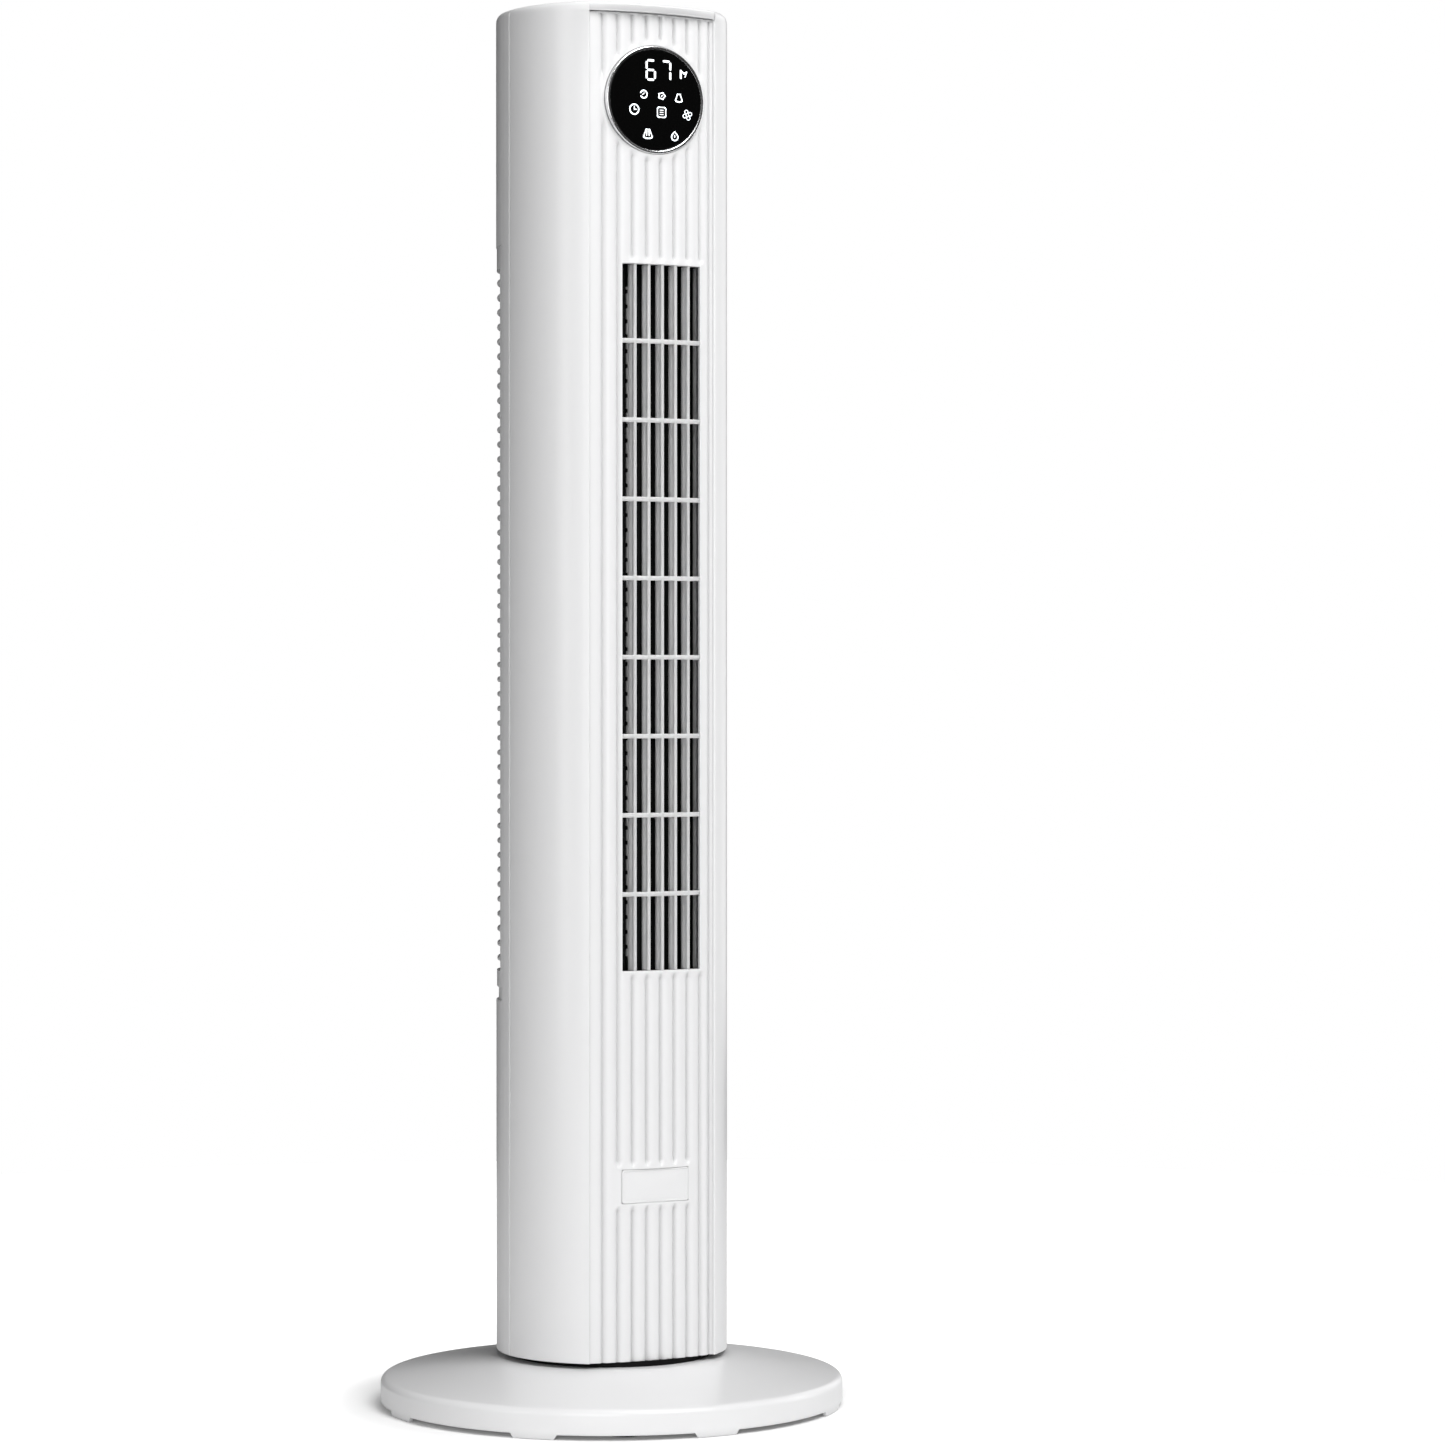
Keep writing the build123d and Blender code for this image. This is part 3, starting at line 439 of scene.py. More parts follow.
def plan(turn, inset):
    """Point of the column's plan where its normal is turned so many degrees from the front: on the bowed
    front, on a corner or on the circle."""
    signed = (turn + 180) % 360 - 180
    side = math.copysign(1, signed)
    size = abs(signed)
    if size <= BOW_TO:
        centre = (0, BOW_Y, BOW_R)
    elif size <= ROUND_FROM:
        centre = (side * CORNER_X, CORNER_Y, CORNER_R)
    else:
        centre = (0, 0, COLUMN_R)
    angle = math.radians(signed)
    radius = centre[2] - inset
    return centre[0] + radius * math.sin(angle), centre[1] - radius * math.cos(angle)


def arc_turns(first, last, step=1.5):
    """Turns along the plan from first to last, finer round the corners and along the bow."""
    special = [-ROUND_FROM, -BOW_TO, BOW_TO, ROUND_FROM]
    picked = span(first, last, step)
    picked += span(-BOW_TO, BOW_TO, 0.7)
    for side in (-1, 1):
        picked += [side * t for t in span(BOW_TO, ROUND_FROM, 4.0)]
    inside = [t for t in picked + special if first <= t <= last]
    return lines(inside, [first, last])


def degrees_of(length):
    """Turn that covers a length along the round part of the column."""
    return math.degrees(length / COLUMN_R)


# ---------------------------------------------------------------- housings
RIM_ROUND = 2.5
RIM_FALL = 4.5
LID_THICK = 3.0
LID_EDGE = 0.8
LID_SOFTEN = 0.25
LID_STEPS = 12
FOOT_ROUND = 0.7
SEAM_BEVEL = 0.7
EDGE_ROUND = 0.5
PANEL_ROUND = 0.7
OPEN_ROUND = 1.8
OPEN_TOP = PANEL_TOP + PANEL_GAP
LEDGE_FRONT_Y = -67.5
LEDGE_RISE = 5.5
LEDGE_STEP = 0.2


def crest_y(x):
    """The bowed surface that the reeds' crests lie on."""
    return PANEL_FRONT_Y + PANEL_BOW_R - math.sqrt(PANEL_BOW_R**2 - x**2)


def bow_y(x, front_y):
    """Bowed front line that starts from the panel opening's edges and reaches front_y in the middle."""
    rise = -front_y - math.sqrt(COLUMN_R**2 - OPEN_HALF**2)
    radius = (OPEN_HALF**2 + rise**2) / (2 * rise)
    return front_y + radius - math.sqrt(radius**2 - x**2)


def front_plan(turn, inset, z):
    """Front shell's plan, which bows out a little further in the ledge over the panel."""
    x, y = plan(turn, inset)
    if z < OPEN_TOP + 0.005 or abs(x) > OPEN_HALF or y > 0:
        return x, y
    flush, crown = crest_y(x) - LEDGE_STEP, bow_y(x, LEDGE_FRONT_Y)
    ledge_y = flush + (crown - flush) * smooth((z - OPEN_TOP) / LEDGE_RISE)
    return x, y + ledge_y - bow_y(x, SHELL_FRONT_Y)


def rim_drop(z):
    """Soft upper edge of the housings: it falls further than it runs in."""
    share = min(1.0, max(0.0, 1 - (RIM_TOP - z) / RIM_FALL))
    return RIM_ROUND * (1 - math.sqrt(1 - share**2))


def chamfer_drop(distance, size):
    """How far a bevelled edge falls below its face, at a distance inward from the edge."""
    return max(0.0, size - max(distance, 0.0))


def ends_drop(z):
    """Rounded rim and rounded bottom edge of both housings."""
    return max(rim_drop(z), round_drop(z - COLUMN_Z, FOOT_ROUND))


def end_lines():
    return round_lines(COLUMN_Z, 1, FOOT_ROUND) + round_lines(RIM_TOP, -1, RIM_FALL)


def front_housing():
    seam = 180 - SEAM_AZIMUTH - degrees_of(SEAM_GAP)

    def drop(u, z):
        beside = math.radians(abs(u)) * COLUMN_R
        seam_drop = chamfer_drop(math.radians(seam) * COLUMN_R - beside, SEAM_BEVEL)
        past_side = (abs(u) - OPEN_AT) * math.radians(CORNER_R)
        open_drop = round_drop(past_side, OPEN_ROUND) if z < OPEN_TOP else 0.0
        return max(ends_drop(z), seam_drop, open_drop)

    us = arc_turns(-seam, seam)
    for side in (-1, 1):
        us += [side * (seam - degrees_of(SEAM_BEVEL)), side * (seam - degrees_of(SEAM_BEVEL + 0.3))]
        us += [side * t for t in round_lines(OPEN_AT, 1, math.degrees(OPEN_ROUND / CORNER_R))]
    vs = lines(end_lines(), span(OPEN_TOP, RIM_TOP - RIM_FALL, 0.5), [OPEN_TOP + 0.01],
               span(COLUMN_Z + 2, OPEN_TOP - 1, 40))
    return thick_grid(
        lines(us), vs,
        lambda u, v: (*front_plan(u, drop(u, v), v), v),
        lambda u, v: (*front_plan(u, WALL, v), v),
        lambda u, v: v > OPEN_TOP or abs(u) > OPEN_AT)


HANDLE_X = CUP_X - CUP_WALL
HANDLE_Z = (CUP_Z[0] + CUP_WALL, CUP_Z[1] - CUP_WALL)
HANDLE_ROUND = 1.2
GRILLE_STEP_DEEP = 1.6


def rear_housing():
    seam = SEAM_AZIMUTH - degrees_of(SEAM_GAP)
    handle_turn = math.degrees(math.asin(HANDLE_X / COLUMN_R))
    window_turn = GRILLE_HALF_ANGLE + 0.2
    window = (INTAKE_Z[0] - 0.1, INTAKE_Z[1] + 0.2)
    step_z = window[0] - GRILLE_STEP_TALL

    def window_drop(u, z, turn, z0, z1, radius):
        past_side = math.radians(abs(u) - turn) * COLUMN_R
        past_end = max(z0 - z, z - z1)
        return round_drop(math.hypot(max(past_side, 0), max(past_end, 0)), radius)

    def drop(u, z):
        seam_drop = chamfer_drop(math.radians(seam - abs(u)) * COLUMN_R, SEAM_BEVEL)
        if abs(u) < window_turn and step_z + 0.01 < z < window[0] + 0.01:
            return GRILLE_STEP_DEEP
        grille_drop = window_drop(u, z, window_turn, step_z, window[1], EDGE_ROUND)
        handle_drop = window_drop(u, z, handle_turn, HANDLE_Z[0], HANDLE_Z[1], HANDLE_ROUND)
        return max(ends_drop(z), seam_drop, grille_drop, handle_drop)

    us = span(-seam, seam, 1.5)
    for side in (-1, 1):
        us += [side * (seam - degrees_of(SEAM_BEVEL)), side * (seam - degrees_of(SEAM_BEVEL + 0.3))]
        us += [side * t for t in round_lines(window_turn, 1, degrees_of(EDGE_ROUND))]
        us.append(side * (window_turn - 0.02))
        us += [side * t for t in round_lines(handle_turn, 1, degrees_of(HANDLE_ROUND))]
    vs = lines(end_lines(), round_lines(step_z, -1, EDGE_ROUND), [step_z + 0.02, window[0]],
               round_lines(window[1], 1, EDGE_ROUND), round_lines(HANDLE_Z[0], -1, HANDLE_ROUND),
               round_lines(HANDLE_Z[1], 1, HANDLE_ROUND), span(COLUMN_Z + 2, step_z - 2, 40))

    def solid(u, v):
        in_grille = abs(u) < window_turn and window[0] < v < window[1]
        in_handle = abs(u) < handle_turn and HANDLE_Z[0] < v < HANDLE_Z[1]
        return not in_grille and not in_handle

    return thick_grid(
        lines(us), vs,
        lambda u, v: (*plan(u + 180, drop(u, v)), v),
        lambda u, v: (*plan(u + 180, WALL), v),
        solid)


def top_cover():
    """Crowned lid inside the rim, with a rounded edge and a flat underside."""
    edge = WALL + FIT_GAP
    crown_rise = TOTAL_Z - RIM_TOP
    turns = span(-180, 180, 2)[:-1]

    def loop(inset, z, share=1.0):
        points = [front_plan(t, inset, RIM_TOP) for t in turns]
        return [(x * share, y * share, z) for x, y in points]

    loops = [loop(edge, RIM_TOP - LID_THICK), loop(edge, RIM_TOP - LID_EDGE),
             loop(edge + LID_SOFTEN, RIM_TOP - LID_SOFTEN)]
    for k in range(LID_STEPS):
        share = 1 - k / LID_STEPS
        loops.append(loop(edge + LID_EDGE, RIM_TOP + crown_rise * (1 - share**2), share))
    return loft(loops)


show("front_housing_shell", front_housing(), "column", "white_plastic", "front_housing")
show("rear_housing_shell", rear_housing(), "column", "white_plastic", "rear_housing")
show("top_lid", top_cover(), "column", "white_plastic", "top_cover")


# ---------------------------------------------------------------- front panel
FADE_START = 0.9
FADE_REACH = 5.0
BADGE_GAP = 0.15
BADGE_EDGE = 0.3
RING_GAP = 0.3
TOP_START = 0.3
TOP_FADE = 1.2
OUT_BESIDE = 0.5
BADGE_BESIDE = 2.2
FINE_STEP = 0.4
PLAIN_STEP = 12
NEAR_GROOVE = (0, 0.3, 0.6, 1.0, 1.4, 1.9, 2.5, 3.2, 4.0)
CUTTER_Y = (-80, -50)
CUTTER_STEPS = 128


def gap_from_box(x, z, x_range, z_range):
    """Distance outside a rectangle, zero inside it."""
    dx = max(x_range[0] - x, x - x_range[1], 0)
    dz = max(z_range[0] - z, z - z_range[1], 0)
    return math.hypot(dx, dz)


def reed_depth(x, z):
    """Depth below the crests: the nearest groove's, which fades out before the ring and the panel's top, and
    before the outlet and the badge where the groove would run into them."""
    at = min(GROOVE_XS, key=lambda groove_x: abs(groove_x - x))
    share = max(0.0, 1 - abs(x - at) / GROOVE_HALF)
    clear = math.hypot(x, z - DISC_Z) - RING_R
    for x_ends, z_ends, margin in ((OUT_X, OUT_Z, OUT_BESIDE), (BADGE_X, BADGE_Z, BADGE_BESIDE)):
        if x_ends[0] - margin < at < x_ends[1] + margin:
            clear = min(clear, max(z_ends[0] - z, z - z_ends[1]))
    fade = smooth((clear - FADE_START) / FADE_REACH) * smooth((PANEL_TOP - z - TOP_START) / TOP_FADE)
    return GROOVE_DEPTH * share**GROOVE_POWER * fade


def front_panel():
    badge_x = (BADGE_X[0] - BADGE_GAP, BADGE_X[1] + BADGE_GAP)
    badge_z = (BADGE_Z[0] - BADGE_GAP, BADGE_Z[1] + BADGE_GAP)

    def drop(x, z):
        rim = max(round_drop(min(PANEL_TOP - z, z - COLUMN_Z), EDGE_ROUND),
                  round_drop(PANEL_HALF - abs(x), PANEL_ROUND))
        outlet = round_drop(gap_from_box(x, z, OUT_X, OUT_Z), EDGE_ROUND)
        beside = gap_from_box(x, z, badge_x, badge_z)
        badge = round_drop(beside, BADGE_EDGE) if beside > 0.001 else POCKET_DEEP
        return max(rim, outlet, badge)

    us = span(-PANEL_HALF, PANEL_HALF, 1.0)
    us += [x for at in GROOVE_XS for d in NEAR_GROOVE for x in (at - d, at + d) if abs(x) < PANEL_HALF]
    us += round_lines(-PANEL_HALF, 1, PANEL_ROUND) + round_lines(PANEL_HALF, -1, PANEL_ROUND)
    us += round_lines(OUT_X[0], -1, EDGE_ROUND) + round_lines(OUT_X[1], 1, EDGE_ROUND)
    us += round_lines(badge_x[0] - 0.01, -1, BADGE_EDGE) + round_lines(badge_x[1] + 0.01, 1, BADGE_EDGE)
    us += list(badge_x)
    reach = FADE_START + FADE_REACH
    vs = round_lines(COLUMN_Z, 1, EDGE_ROUND) + round_lines(PANEL_TOP, -1, EDGE_ROUND)
    vs += span(COLUMN_Z + 2, badge_z[0] - reach - 1, PLAIN_STEP)
    vs += span(badge_z[0] - reach, badge_z[0] - 0.4, FINE_STEP)
    vs += round_lines(badge_z[0] - 0.01, -1, BADGE_EDGE) + round_lines(badge_z[1] + 0.01, 1, BADGE_EDGE)
    vs += list(badge_z) + span(badge_z[1] + 0.4, badge_z[1] + reach, FINE_STEP)
    vs += span(badge_z[1] + reach + 1, OUT_Z[0] - reach - 1, PLAIN_STEP)
    vs += span(OUT_Z[0] - reach, OUT_Z[0] - 0.6, FINE_STEP) + round_lines(OUT_Z[0], -1, EDGE_ROUND)
    vs += round_lines(OUT_Z[1], 1, EDGE_ROUND) + span(OUT_Z[1] + 0.6, OUT_Z[1] + reach, FINE_STEP)
    vs += span(OUT_Z[1] + reach + 1, DISC_Z - RING_R - reach - 2, 8)
    vs += span(DISC_Z - RING_R - reach - 1, PANEL_TOP - 5, 0.7)
    vs += span(PANEL_TOP - 5, PANEL_TOP - 0.6, FINE_STEP)
    vs += span(badge_z[0], badge_z[1], 5)

    def solid(x, z):
        return gap_from_box(x, z, OUT_X, OUT_Z) > 0

    return thick_grid(
        lines(us), lines(vs),
        lambda x, z: (x, crest_y(x) + max(reed_depth(x, z), drop(x, z)), z),
        lambda x, z: (x, crest_y(x) + PANEL_THICK, z),
        solid)


def cut_round_hole(piece, radius, centre_z):
    """Cuts a hole along Y right through a piece."""
    hole = make_object("cutter", *cylinder_y(radius, *CUTTER_Y, centre_z, CUTTER_STEPS))
    cut = piece.modifiers.new("hole", "BOOLEAN")
    cut.operation = "DIFFERENCE"
    cut.solver = "EXACT"
    cut.object = hole
    bpy.context.view_layer.update()
    evaluated = piece.evaluated_get(bpy.context.evaluated_depsgraph_get())
    mesh = bpy.data.meshes.new_from_object(evaluated)
    piece.modifiers.clear()
    piece.data = mesh
    finish_shading(mesh)
    bpy.data.objects.remove(hole)


def cylinder_y(radius, y0, y1, centre_z, steps):
    """Solid cylinder along Y."""
    rim = [(radius * math.cos(t), centre_z + radius * math.sin(t))
           for t in (2 * math.pi * i / steps for i in range(steps))]
    return loft([[(x, y, z) for x, z in rim] for y in (y0, y1)])


panel = show("reeded_panel", front_panel(), "column", "white_plastic", "front_panel")
cut_round_hole(panel, RING_R + RING_GAP, DISC_Z)


# ---------------------------------------------------------------- outlet grille
def outlet_lattice():
    """Front layer of the grille: fins and crossbars with rounded front edges, following the panel's bow."""
    x0, x1 = OUT_X[0] + FIT_GAP, OUT_X[1] - FIT_GAP
    z0, z1 = OUT_Z[0] + FIT_GAP, OUT_Z[1] - FIT_GAP
    row_pitch = (OUT_Z[1] - OUT_Z[0] + 2 * BAR_HALF) / OUT_ROWS
    bar_zs = [OUT_Z[0] - BAR_HALF + i * row_pitch for i in range(1, OUT_ROWS)]

    def nearest(value, places):
        return min(abs(value - place) for place in places)

    def drop(x, z):
        in_fin = FIN_HALF - nearest(x, FIN_XS)
        in_bar = BAR_HALF - nearest(z, bar_zs)
        if in_fin > -1e-6 and in_bar > -1e-6:
            return round_drop(math.hypot(in_fin, in_bar), FIN_ROUND)
        if in_fin > -1e-6:
            return round_drop(in_fin, FIN_ROUND)
        return round_drop(in_bar, BAR_ROUND)

    us = [x0, x1]
    for x in FIN_XS:
        us += round_lines(x - FIN_HALF, 1, FIN_ROUND) + round_lines(x + FIN_HALF, -1, FIN_ROUND)
        us += [x - 3, x + 3]
    vs = [z0, z1]
    for z in bar_zs:
        vs += round_lines(z - BAR_HALF, 1, BAR_ROUND) + round_lines(z + BAR_HALF, -1, BAR_ROUND)
    return thick_grid(
        lines(us), lines(vs),
        lambda x, z: (x, crest_y(x) + drop(x, z), z),
        lambda x, z: (x, crest_y(x) + BAR_DEPTH, z),
        lambda x, z: nearest(x, FIN_XS) < FIN_HALF or nearest(z, bar_zs) < BAR_HALF)


def outlet_fins():
    """The fins' deep rear halves, which thicken towards the back, the wall beside them and the flange."""
    pieces = []
    fin_z = (OUT_Z[0] + FIT_GAP, OUT_Z[1] - FIT_GAP)
    for x in FIN_XS:
        front = crest_y(x) + BAR_DEPTH
        back = crest_y(x) + FIN_DEPTH
        section = [(x - FIN_HALF, front), (x + FIN_HALF, front), (x + FIN_HALF, back), (x - FIN_BACK, back)]
        pieces.append(loft([[(a, b, z) for a, b in section] for z in fin_z]))
    wall_x = OUT_X[1] + CHEEK_THICK
    corners = [(OUT_X[1], PANEL_THICK), (wall_x, PANEL_THICK), (wall_x, CHEEK_DEPTH), (OUT_X[1], CHEEK_DEPTH)]
    cheek = [(x, crest_y(x) + depth) for x, depth in corners]
    pieces.append(loft([[(x, y, z) for x, y in cheek] for z in OUT_Z]))
    flange_x = (OUT_X[0] - FLANGE, OUT_X[1] + FLANGE)
    flange_z = (OUT_Z[0] - FLANGE, OUT_Z[1] + FLANGE)
    near = PANEL_THICK + FIT_GAP
    pieces.append(thick_grid(
        lines(flange_x, span(*OUT_X, 5)), lines(flange_z, OUT_Z),
        lambda x, z: (x, crest_y(x) + near, z),
        lambda x, z: (x, crest_y(x) + near + FLANGE_THICK, z),
        lambda x, z: gap_from_box(x, z, OUT_X, OUT_Z) > 0))
    return merge(*pieces)


grille = show("outlet_grille_bars", merge(outlet_lattice(), outlet_fins()), "column", "white_plastic",
              "outlet_grille")
# The grille gets the lighter copy of the white plastic: painted light on its slot walls, besides real
# translucency.
grille.data.materials[0] = LIGHTENED_THIN_WHITE


# ---------------------------------------------------------------- rear grille
def rear_grille():
    """Curved plate of rounded slats in four windows, with uprights between them."""
    r_out = COLUMN_R - GRILLE_INSET
    slat_zs = [SLAT_TOP_Z - i * SLAT_PITCH for i in range(SLAT_COUNT)]
    slots_z = (slat_zs[-1] - SLAT_PITCH + SLAT_HALF, slat_zs[0] + SLAT_PITCH - SLAT_HALF)
    window_angle = (2 * SLOT_HALF_ANGLE - (WINDOW_COUNT - 1) * UPRIGHT_ANGLE) / WINDOW_COUNT
    starts = [-SLOT_HALF_ANGLE + i * (window_angle + UPRIGHT_ANGLE) for i in range(WINDOW_COUNT)]
    window_edges = [edge for start in starts for edge in (start, start + window_angle)]

    def slat_offset(z):
        place = (SLAT_TOP_Z - z) / SLAT_PITCH
        return abs(place - round(place)) * SLAT_PITCH

    def in_slots(u, z):
        in_window = any(start < u < start + window_angle for start in starts)
        return in_window and slots_z[0] < z < slots_z[1]

    def drop(u, z):
        rim_side = math.radians(GRILLE_HALF_ANGLE - abs(u)) * r_out
        rim = round_drop(min(rim_side, z - INTAKE_Z[0], INTAKE_Z[1] - z), EDGE_ROUND)
        if in_slots(u, z):
            return max(rim, SLAT_INSET + round_drop(SLAT_HALF - slat_offset(z), SLAT_ROUND))
        return rim

    us = window_edges + [edge + side * 0.1 for edge in window_edges for side in (-1, 1)]
    for start in starts:
        us += span(start, start + window_angle, 2.0)
    for side in (-1, 1):
        us += [side * t for t in round_lines(GRILLE_HALF_ANGLE, -1, math.degrees(EDGE_ROUND / r_out))]
    vs = round_lines(INTAKE_Z[0], 1, EDGE_ROUND) + round_lines(INTAKE_Z[1], -1, EDGE_ROUND) + list(slots_z)
    for z in slat_zs:
        vs += round_lines(z - SLAT_HALF, 1, SLAT_ROUND) + round_lines(z + SLAT_HALF, -1, SLAT_ROUND)

    def place(u, inset, z):
        angle = math.radians(u)
        return (r_out - inset) * math.sin(angle), (r_out - inset) * math.cos(angle), z

    return thick_grid(
        lines(us), lines(vs),
        lambda u, z: place(u, drop(u, z), z),
        lambda u, z: place(u, SLAT_DEEP, z),
        lambda u, z: not in_slots(u, z) or slat_offset(z) < SLAT_HALF)


show("rear_grille_slats", rear_grille(), "column", "white_plastic", "rear_grille")


# ---------------------------------------------------------------- base
TAB_COUNT = 8
TAB_HALF = 15.5
TAB_TAPER = 2.0
TAB_Z = 0.2
RIM_Z = 3.2
RIM_SIDE_TOP = 15.0
SHOULDER_R = 5.0
BASE_WALL = 2.5
BORE_R = 22.3


def base_outline(v, inset):
    """Point (radius, z) of the base's section: side up to RIM_SIDE_TOP, then one unit of v each for the
    rounded shoulder, the cone that meets it in a tangent, and the flat middle."""
    shoulder = (BASE_R - SHOULDER_R, RIM_SIDE_TOP)
    run, rise = shoulder[0] - COLUMN_R, CONE_TOP - shoulder[1]
    slope = math.atan2(rise, run) - math.asin(SHOULDER_R / math.hypot(run, rise))
    leave = math.pi / 2 - slope
    radius = SHOULDER_R - inset
    part, share = divmod(max(v - RIM_SIDE_TOP, 0.0), 1.0)
    if v <= RIM_SIDE_TOP:
        return BASE_R - inset, v
    if part == 0:
        return shoulder[0] + radius * math.cos(share * leave), shoulder[1] + radius * math.sin(share * leave)
    if part == 1:
        start = (shoulder[0] + radius * math.cos(leave), shoulder[1] + radius * math.sin(leave))
        end = (COLUMN_R - inset * math.cos(leave), CONE_TOP - inset)
        return start[0] + (end[0] - start[0]) * share, start[1] + (end[1] - start[1]) * share
    return COLUMN_R + (BORE_R - COLUMN_R) * min(share, 1.0), CONE_TOP - inset


def base_cover():
    """Turned cover with a wavy lower edge: eight tapered tabs reach down to the floor."""
    edge_round = 0.45
    half = math.degrees(TAB_HALF / BASE_R)
    pitch = 360 / TAB_COUNT

    def from_tab(u):
        return (u + pitch / 2) % pitch - pitch / 2

    def place(u, v, inset):
        beside = from_tab(u)
        in_tab = abs(beside) <= half + 1e-6
        if v < RIM_Z and in_tab:
            taper = TAB_TAPER / TAB_HALF * (RIM_Z - v) / (RIM_Z - TAB_Z)
            u -= beside * taper
        radius, z = base_outline(v, inset)
        angle = math.radians(u)
        return radius * math.cos(angle), radius * math.sin(angle), z

    def outer(u, v):
        in_tab = abs(from_tab(u)) <= half + 1e-6
        return place(u, v, round_drop(v - (TAB_Z if in_tab else RIM_Z), edge_round) if v < 6 else 0.0)

    us = span(0, 360, 0.75)[:-1]
    for i in range(TAB_COUNT):
        us += [(i * pitch + side * half) % 360 for side in (-1, 1)]
    vs = round_lines(TAB_Z, 1, edge_round) + round_lines(RIM_Z, 1, edge_round) + [9.0]
    vs += [RIM_SIDE_TOP + i / 10 for i in range(11)]
    vs += [RIM_SIDE_TOP + 1 + i / 6 for i in range(1, 6)]
    vs += [RIM_SIDE_TOP + 2, RIM_SIDE_TOP + 2.02, RIM_SIDE_TOP + 2.999]
    return thick_grid(
        lines(us), lines(vs), outer,
        lambda u, v: place(u, v, BASE_WALL),
        lambda u, v: v > RIM_Z or abs(from_tab(u)) < half,
        wrap=True)


show("base_shell", base_cover(), "base", "white_plastic", "base_cover")


# ---------------------------------------------------------------- badge
BADGE_THICK = 1.0
FACE_STEPS = 12
# The border's section, from the plate's side to its sunk face: (inset, how far below the border's top).
BADGE_BORDER = ((0, 0.35), (0.1, 0.1), (0.35, 0), (0.95, 0), (1.15, 0.2), (1.3, 0.25))


def badge_plate():
    """Blank plate that follows the bow, with rounded corners and a fine raised border."""
    half_x = (BADGE_X[1] - BADGE_X[0]) / 2
    half_z = (BADGE_Z[1] - BADGE_Z[0]) / 2
    middle = (sum(BADGE_X) / 2, sum(BADGE_Z) / 2)

    def loop(inset, depth, shrink=1.0):
        radius = max(BADGE_CORNER - inset, 0.1)
        points = []
        for quarter in range(4):
            sx = (1, -1, -1, 1)[quarter]
            sz = (1, 1, -1, -1)[quarter]
            for k in range(7):
                a = math.pi / 2 * (quarter + k / 6)
                x = sx * (half_x - inset - radius) + radius * math.cos(a)
                z = sz * (half_z - inset - radius) + radius * math.sin(a)
                points.append((middle[0] + x * shrink, middle[1] + z * shrink))
        return [(x, crest_y(x) + depth, z) for x, z in points]

    loops = [loop(0, BADGE_THICK)] + [loop(inset, -BADGE_PROUD + sunk) for inset, sunk in BADGE_BORDER]
    inset, sunk = BADGE_BORDER[-1]
    loops += [loop(inset, -BADGE_PROUD + sunk, 1 - i / FACE_STEPS) for i in range(1, FACE_STEPS)]
    return loft(loops)


show("badge", badge_plate(), "column", "white_plastic", "badge_plate")


# ---------------------------------------------------------------- control window
NOSE_R = 0.7
GLASS_SEAT_Y = -63.2
GLASS_EDGE = 0.3
TURNED_STEPS = 160


def bezel_profile():
    """Section of the bright ring: rounded nose, and an inner lip round the glass."""
    nose = [(RING_R - NOSE_R + NOSE_R * math.cos(a), RING_FRONT_Y + NOSE_R - NOSE_R * math.sin(a))
            for a in (math.pi / 2 * k / 5 for k in range(6))]
    inner = [(GLASS_R + 0.75, RING_FRONT_Y + 0.02), (GLASS_R + 0.3, RING_FRONT_Y + 0.15),
             (GLASS_R + FIT_GAP, RING_FRONT_Y + 0.45)]
    back_y = high("bezel_ring", Y)
    seat = [(GLASS_R + FIT_GAP, GLASS_SEAT_Y), (GLASS_R - 2, GLASS_SEAT_Y), (GLASS_R - 2, back_y)]
    return [(RING_R, back_y)] + nose + inner + seat


def glass_window():
    """Round pane with a bevelled front edge."""
    rings = [(GLASS_R, high("control_glass", Y)), (GLASS_R, GLASS_FRONT_Y + GLASS_EDGE),
             (GLASS_R - GLASS_EDGE, GLASS_FRONT_Y)]
    turns = [2 * math.pi * i / TURNED_STEPS for i in range(TURNED_STEPS)]
    return loft([[(r * math.cos(t), y, DISC_Z + r * math.sin(t)) for t in turns] for r, y in rings])


show("bezel", lathe_y(bezel_profile(), DISC_Z, 200), "column", "chrome", "bezel_ring")
show("window_glass", glass_window(), "column", "black_glass", "control_glass")


# ---------------------------------------------------------------- lit legends on the window
LEGEND_SUNK = 0.05
LEGEND_PROUD = 0.02


def flat_shape(points):
    """Thin shape on the glass, from (x, z) points about the window's centre."""
    depths = (GLASS_FRONT_Y + LEGEND_SUNK, GLASS_FRONT_Y - LEGEND_PROUD)
    return loft([[(x, y, DISC_Z + z) for x, z in points] for y in depths])


def dash(start, end, width):
    """Straight stroke with round ends."""
    angle = math.atan2(end[1] - start[1], end[0] - start[0])
    points = []
    for tip, turn in ((end, angle - math.pi / 2), (start, angle + math.pi / 2)):
        for k in range(7):
            a = turn + math.pi * k / 6
            points.append((tip[0] + width / 2 * math.cos(a), tip[1] + width / 2 * math.sin(a)))
    return flat_shape(points)


def stroke(points, width):
    return merge(*[dash(a, b, width) for a, b in zip(points, points[1:])])


def arc_points(x, z, radius_x, radius_z, from_deg, to_deg, count=20):
    angles = [math.radians(from_deg + (to_deg - from_deg) * i / count) for i in range(count + 1)]
    return [(x + radius_x * math.cos(a), z + radius_z * math.sin(a)) for a in angles]


DIGIT_HALF_W = 3.0
DIGIT_HALF_H = 6.2
DIGIT_STROKE = 1.45
DIGIT_TRIM = 1.25


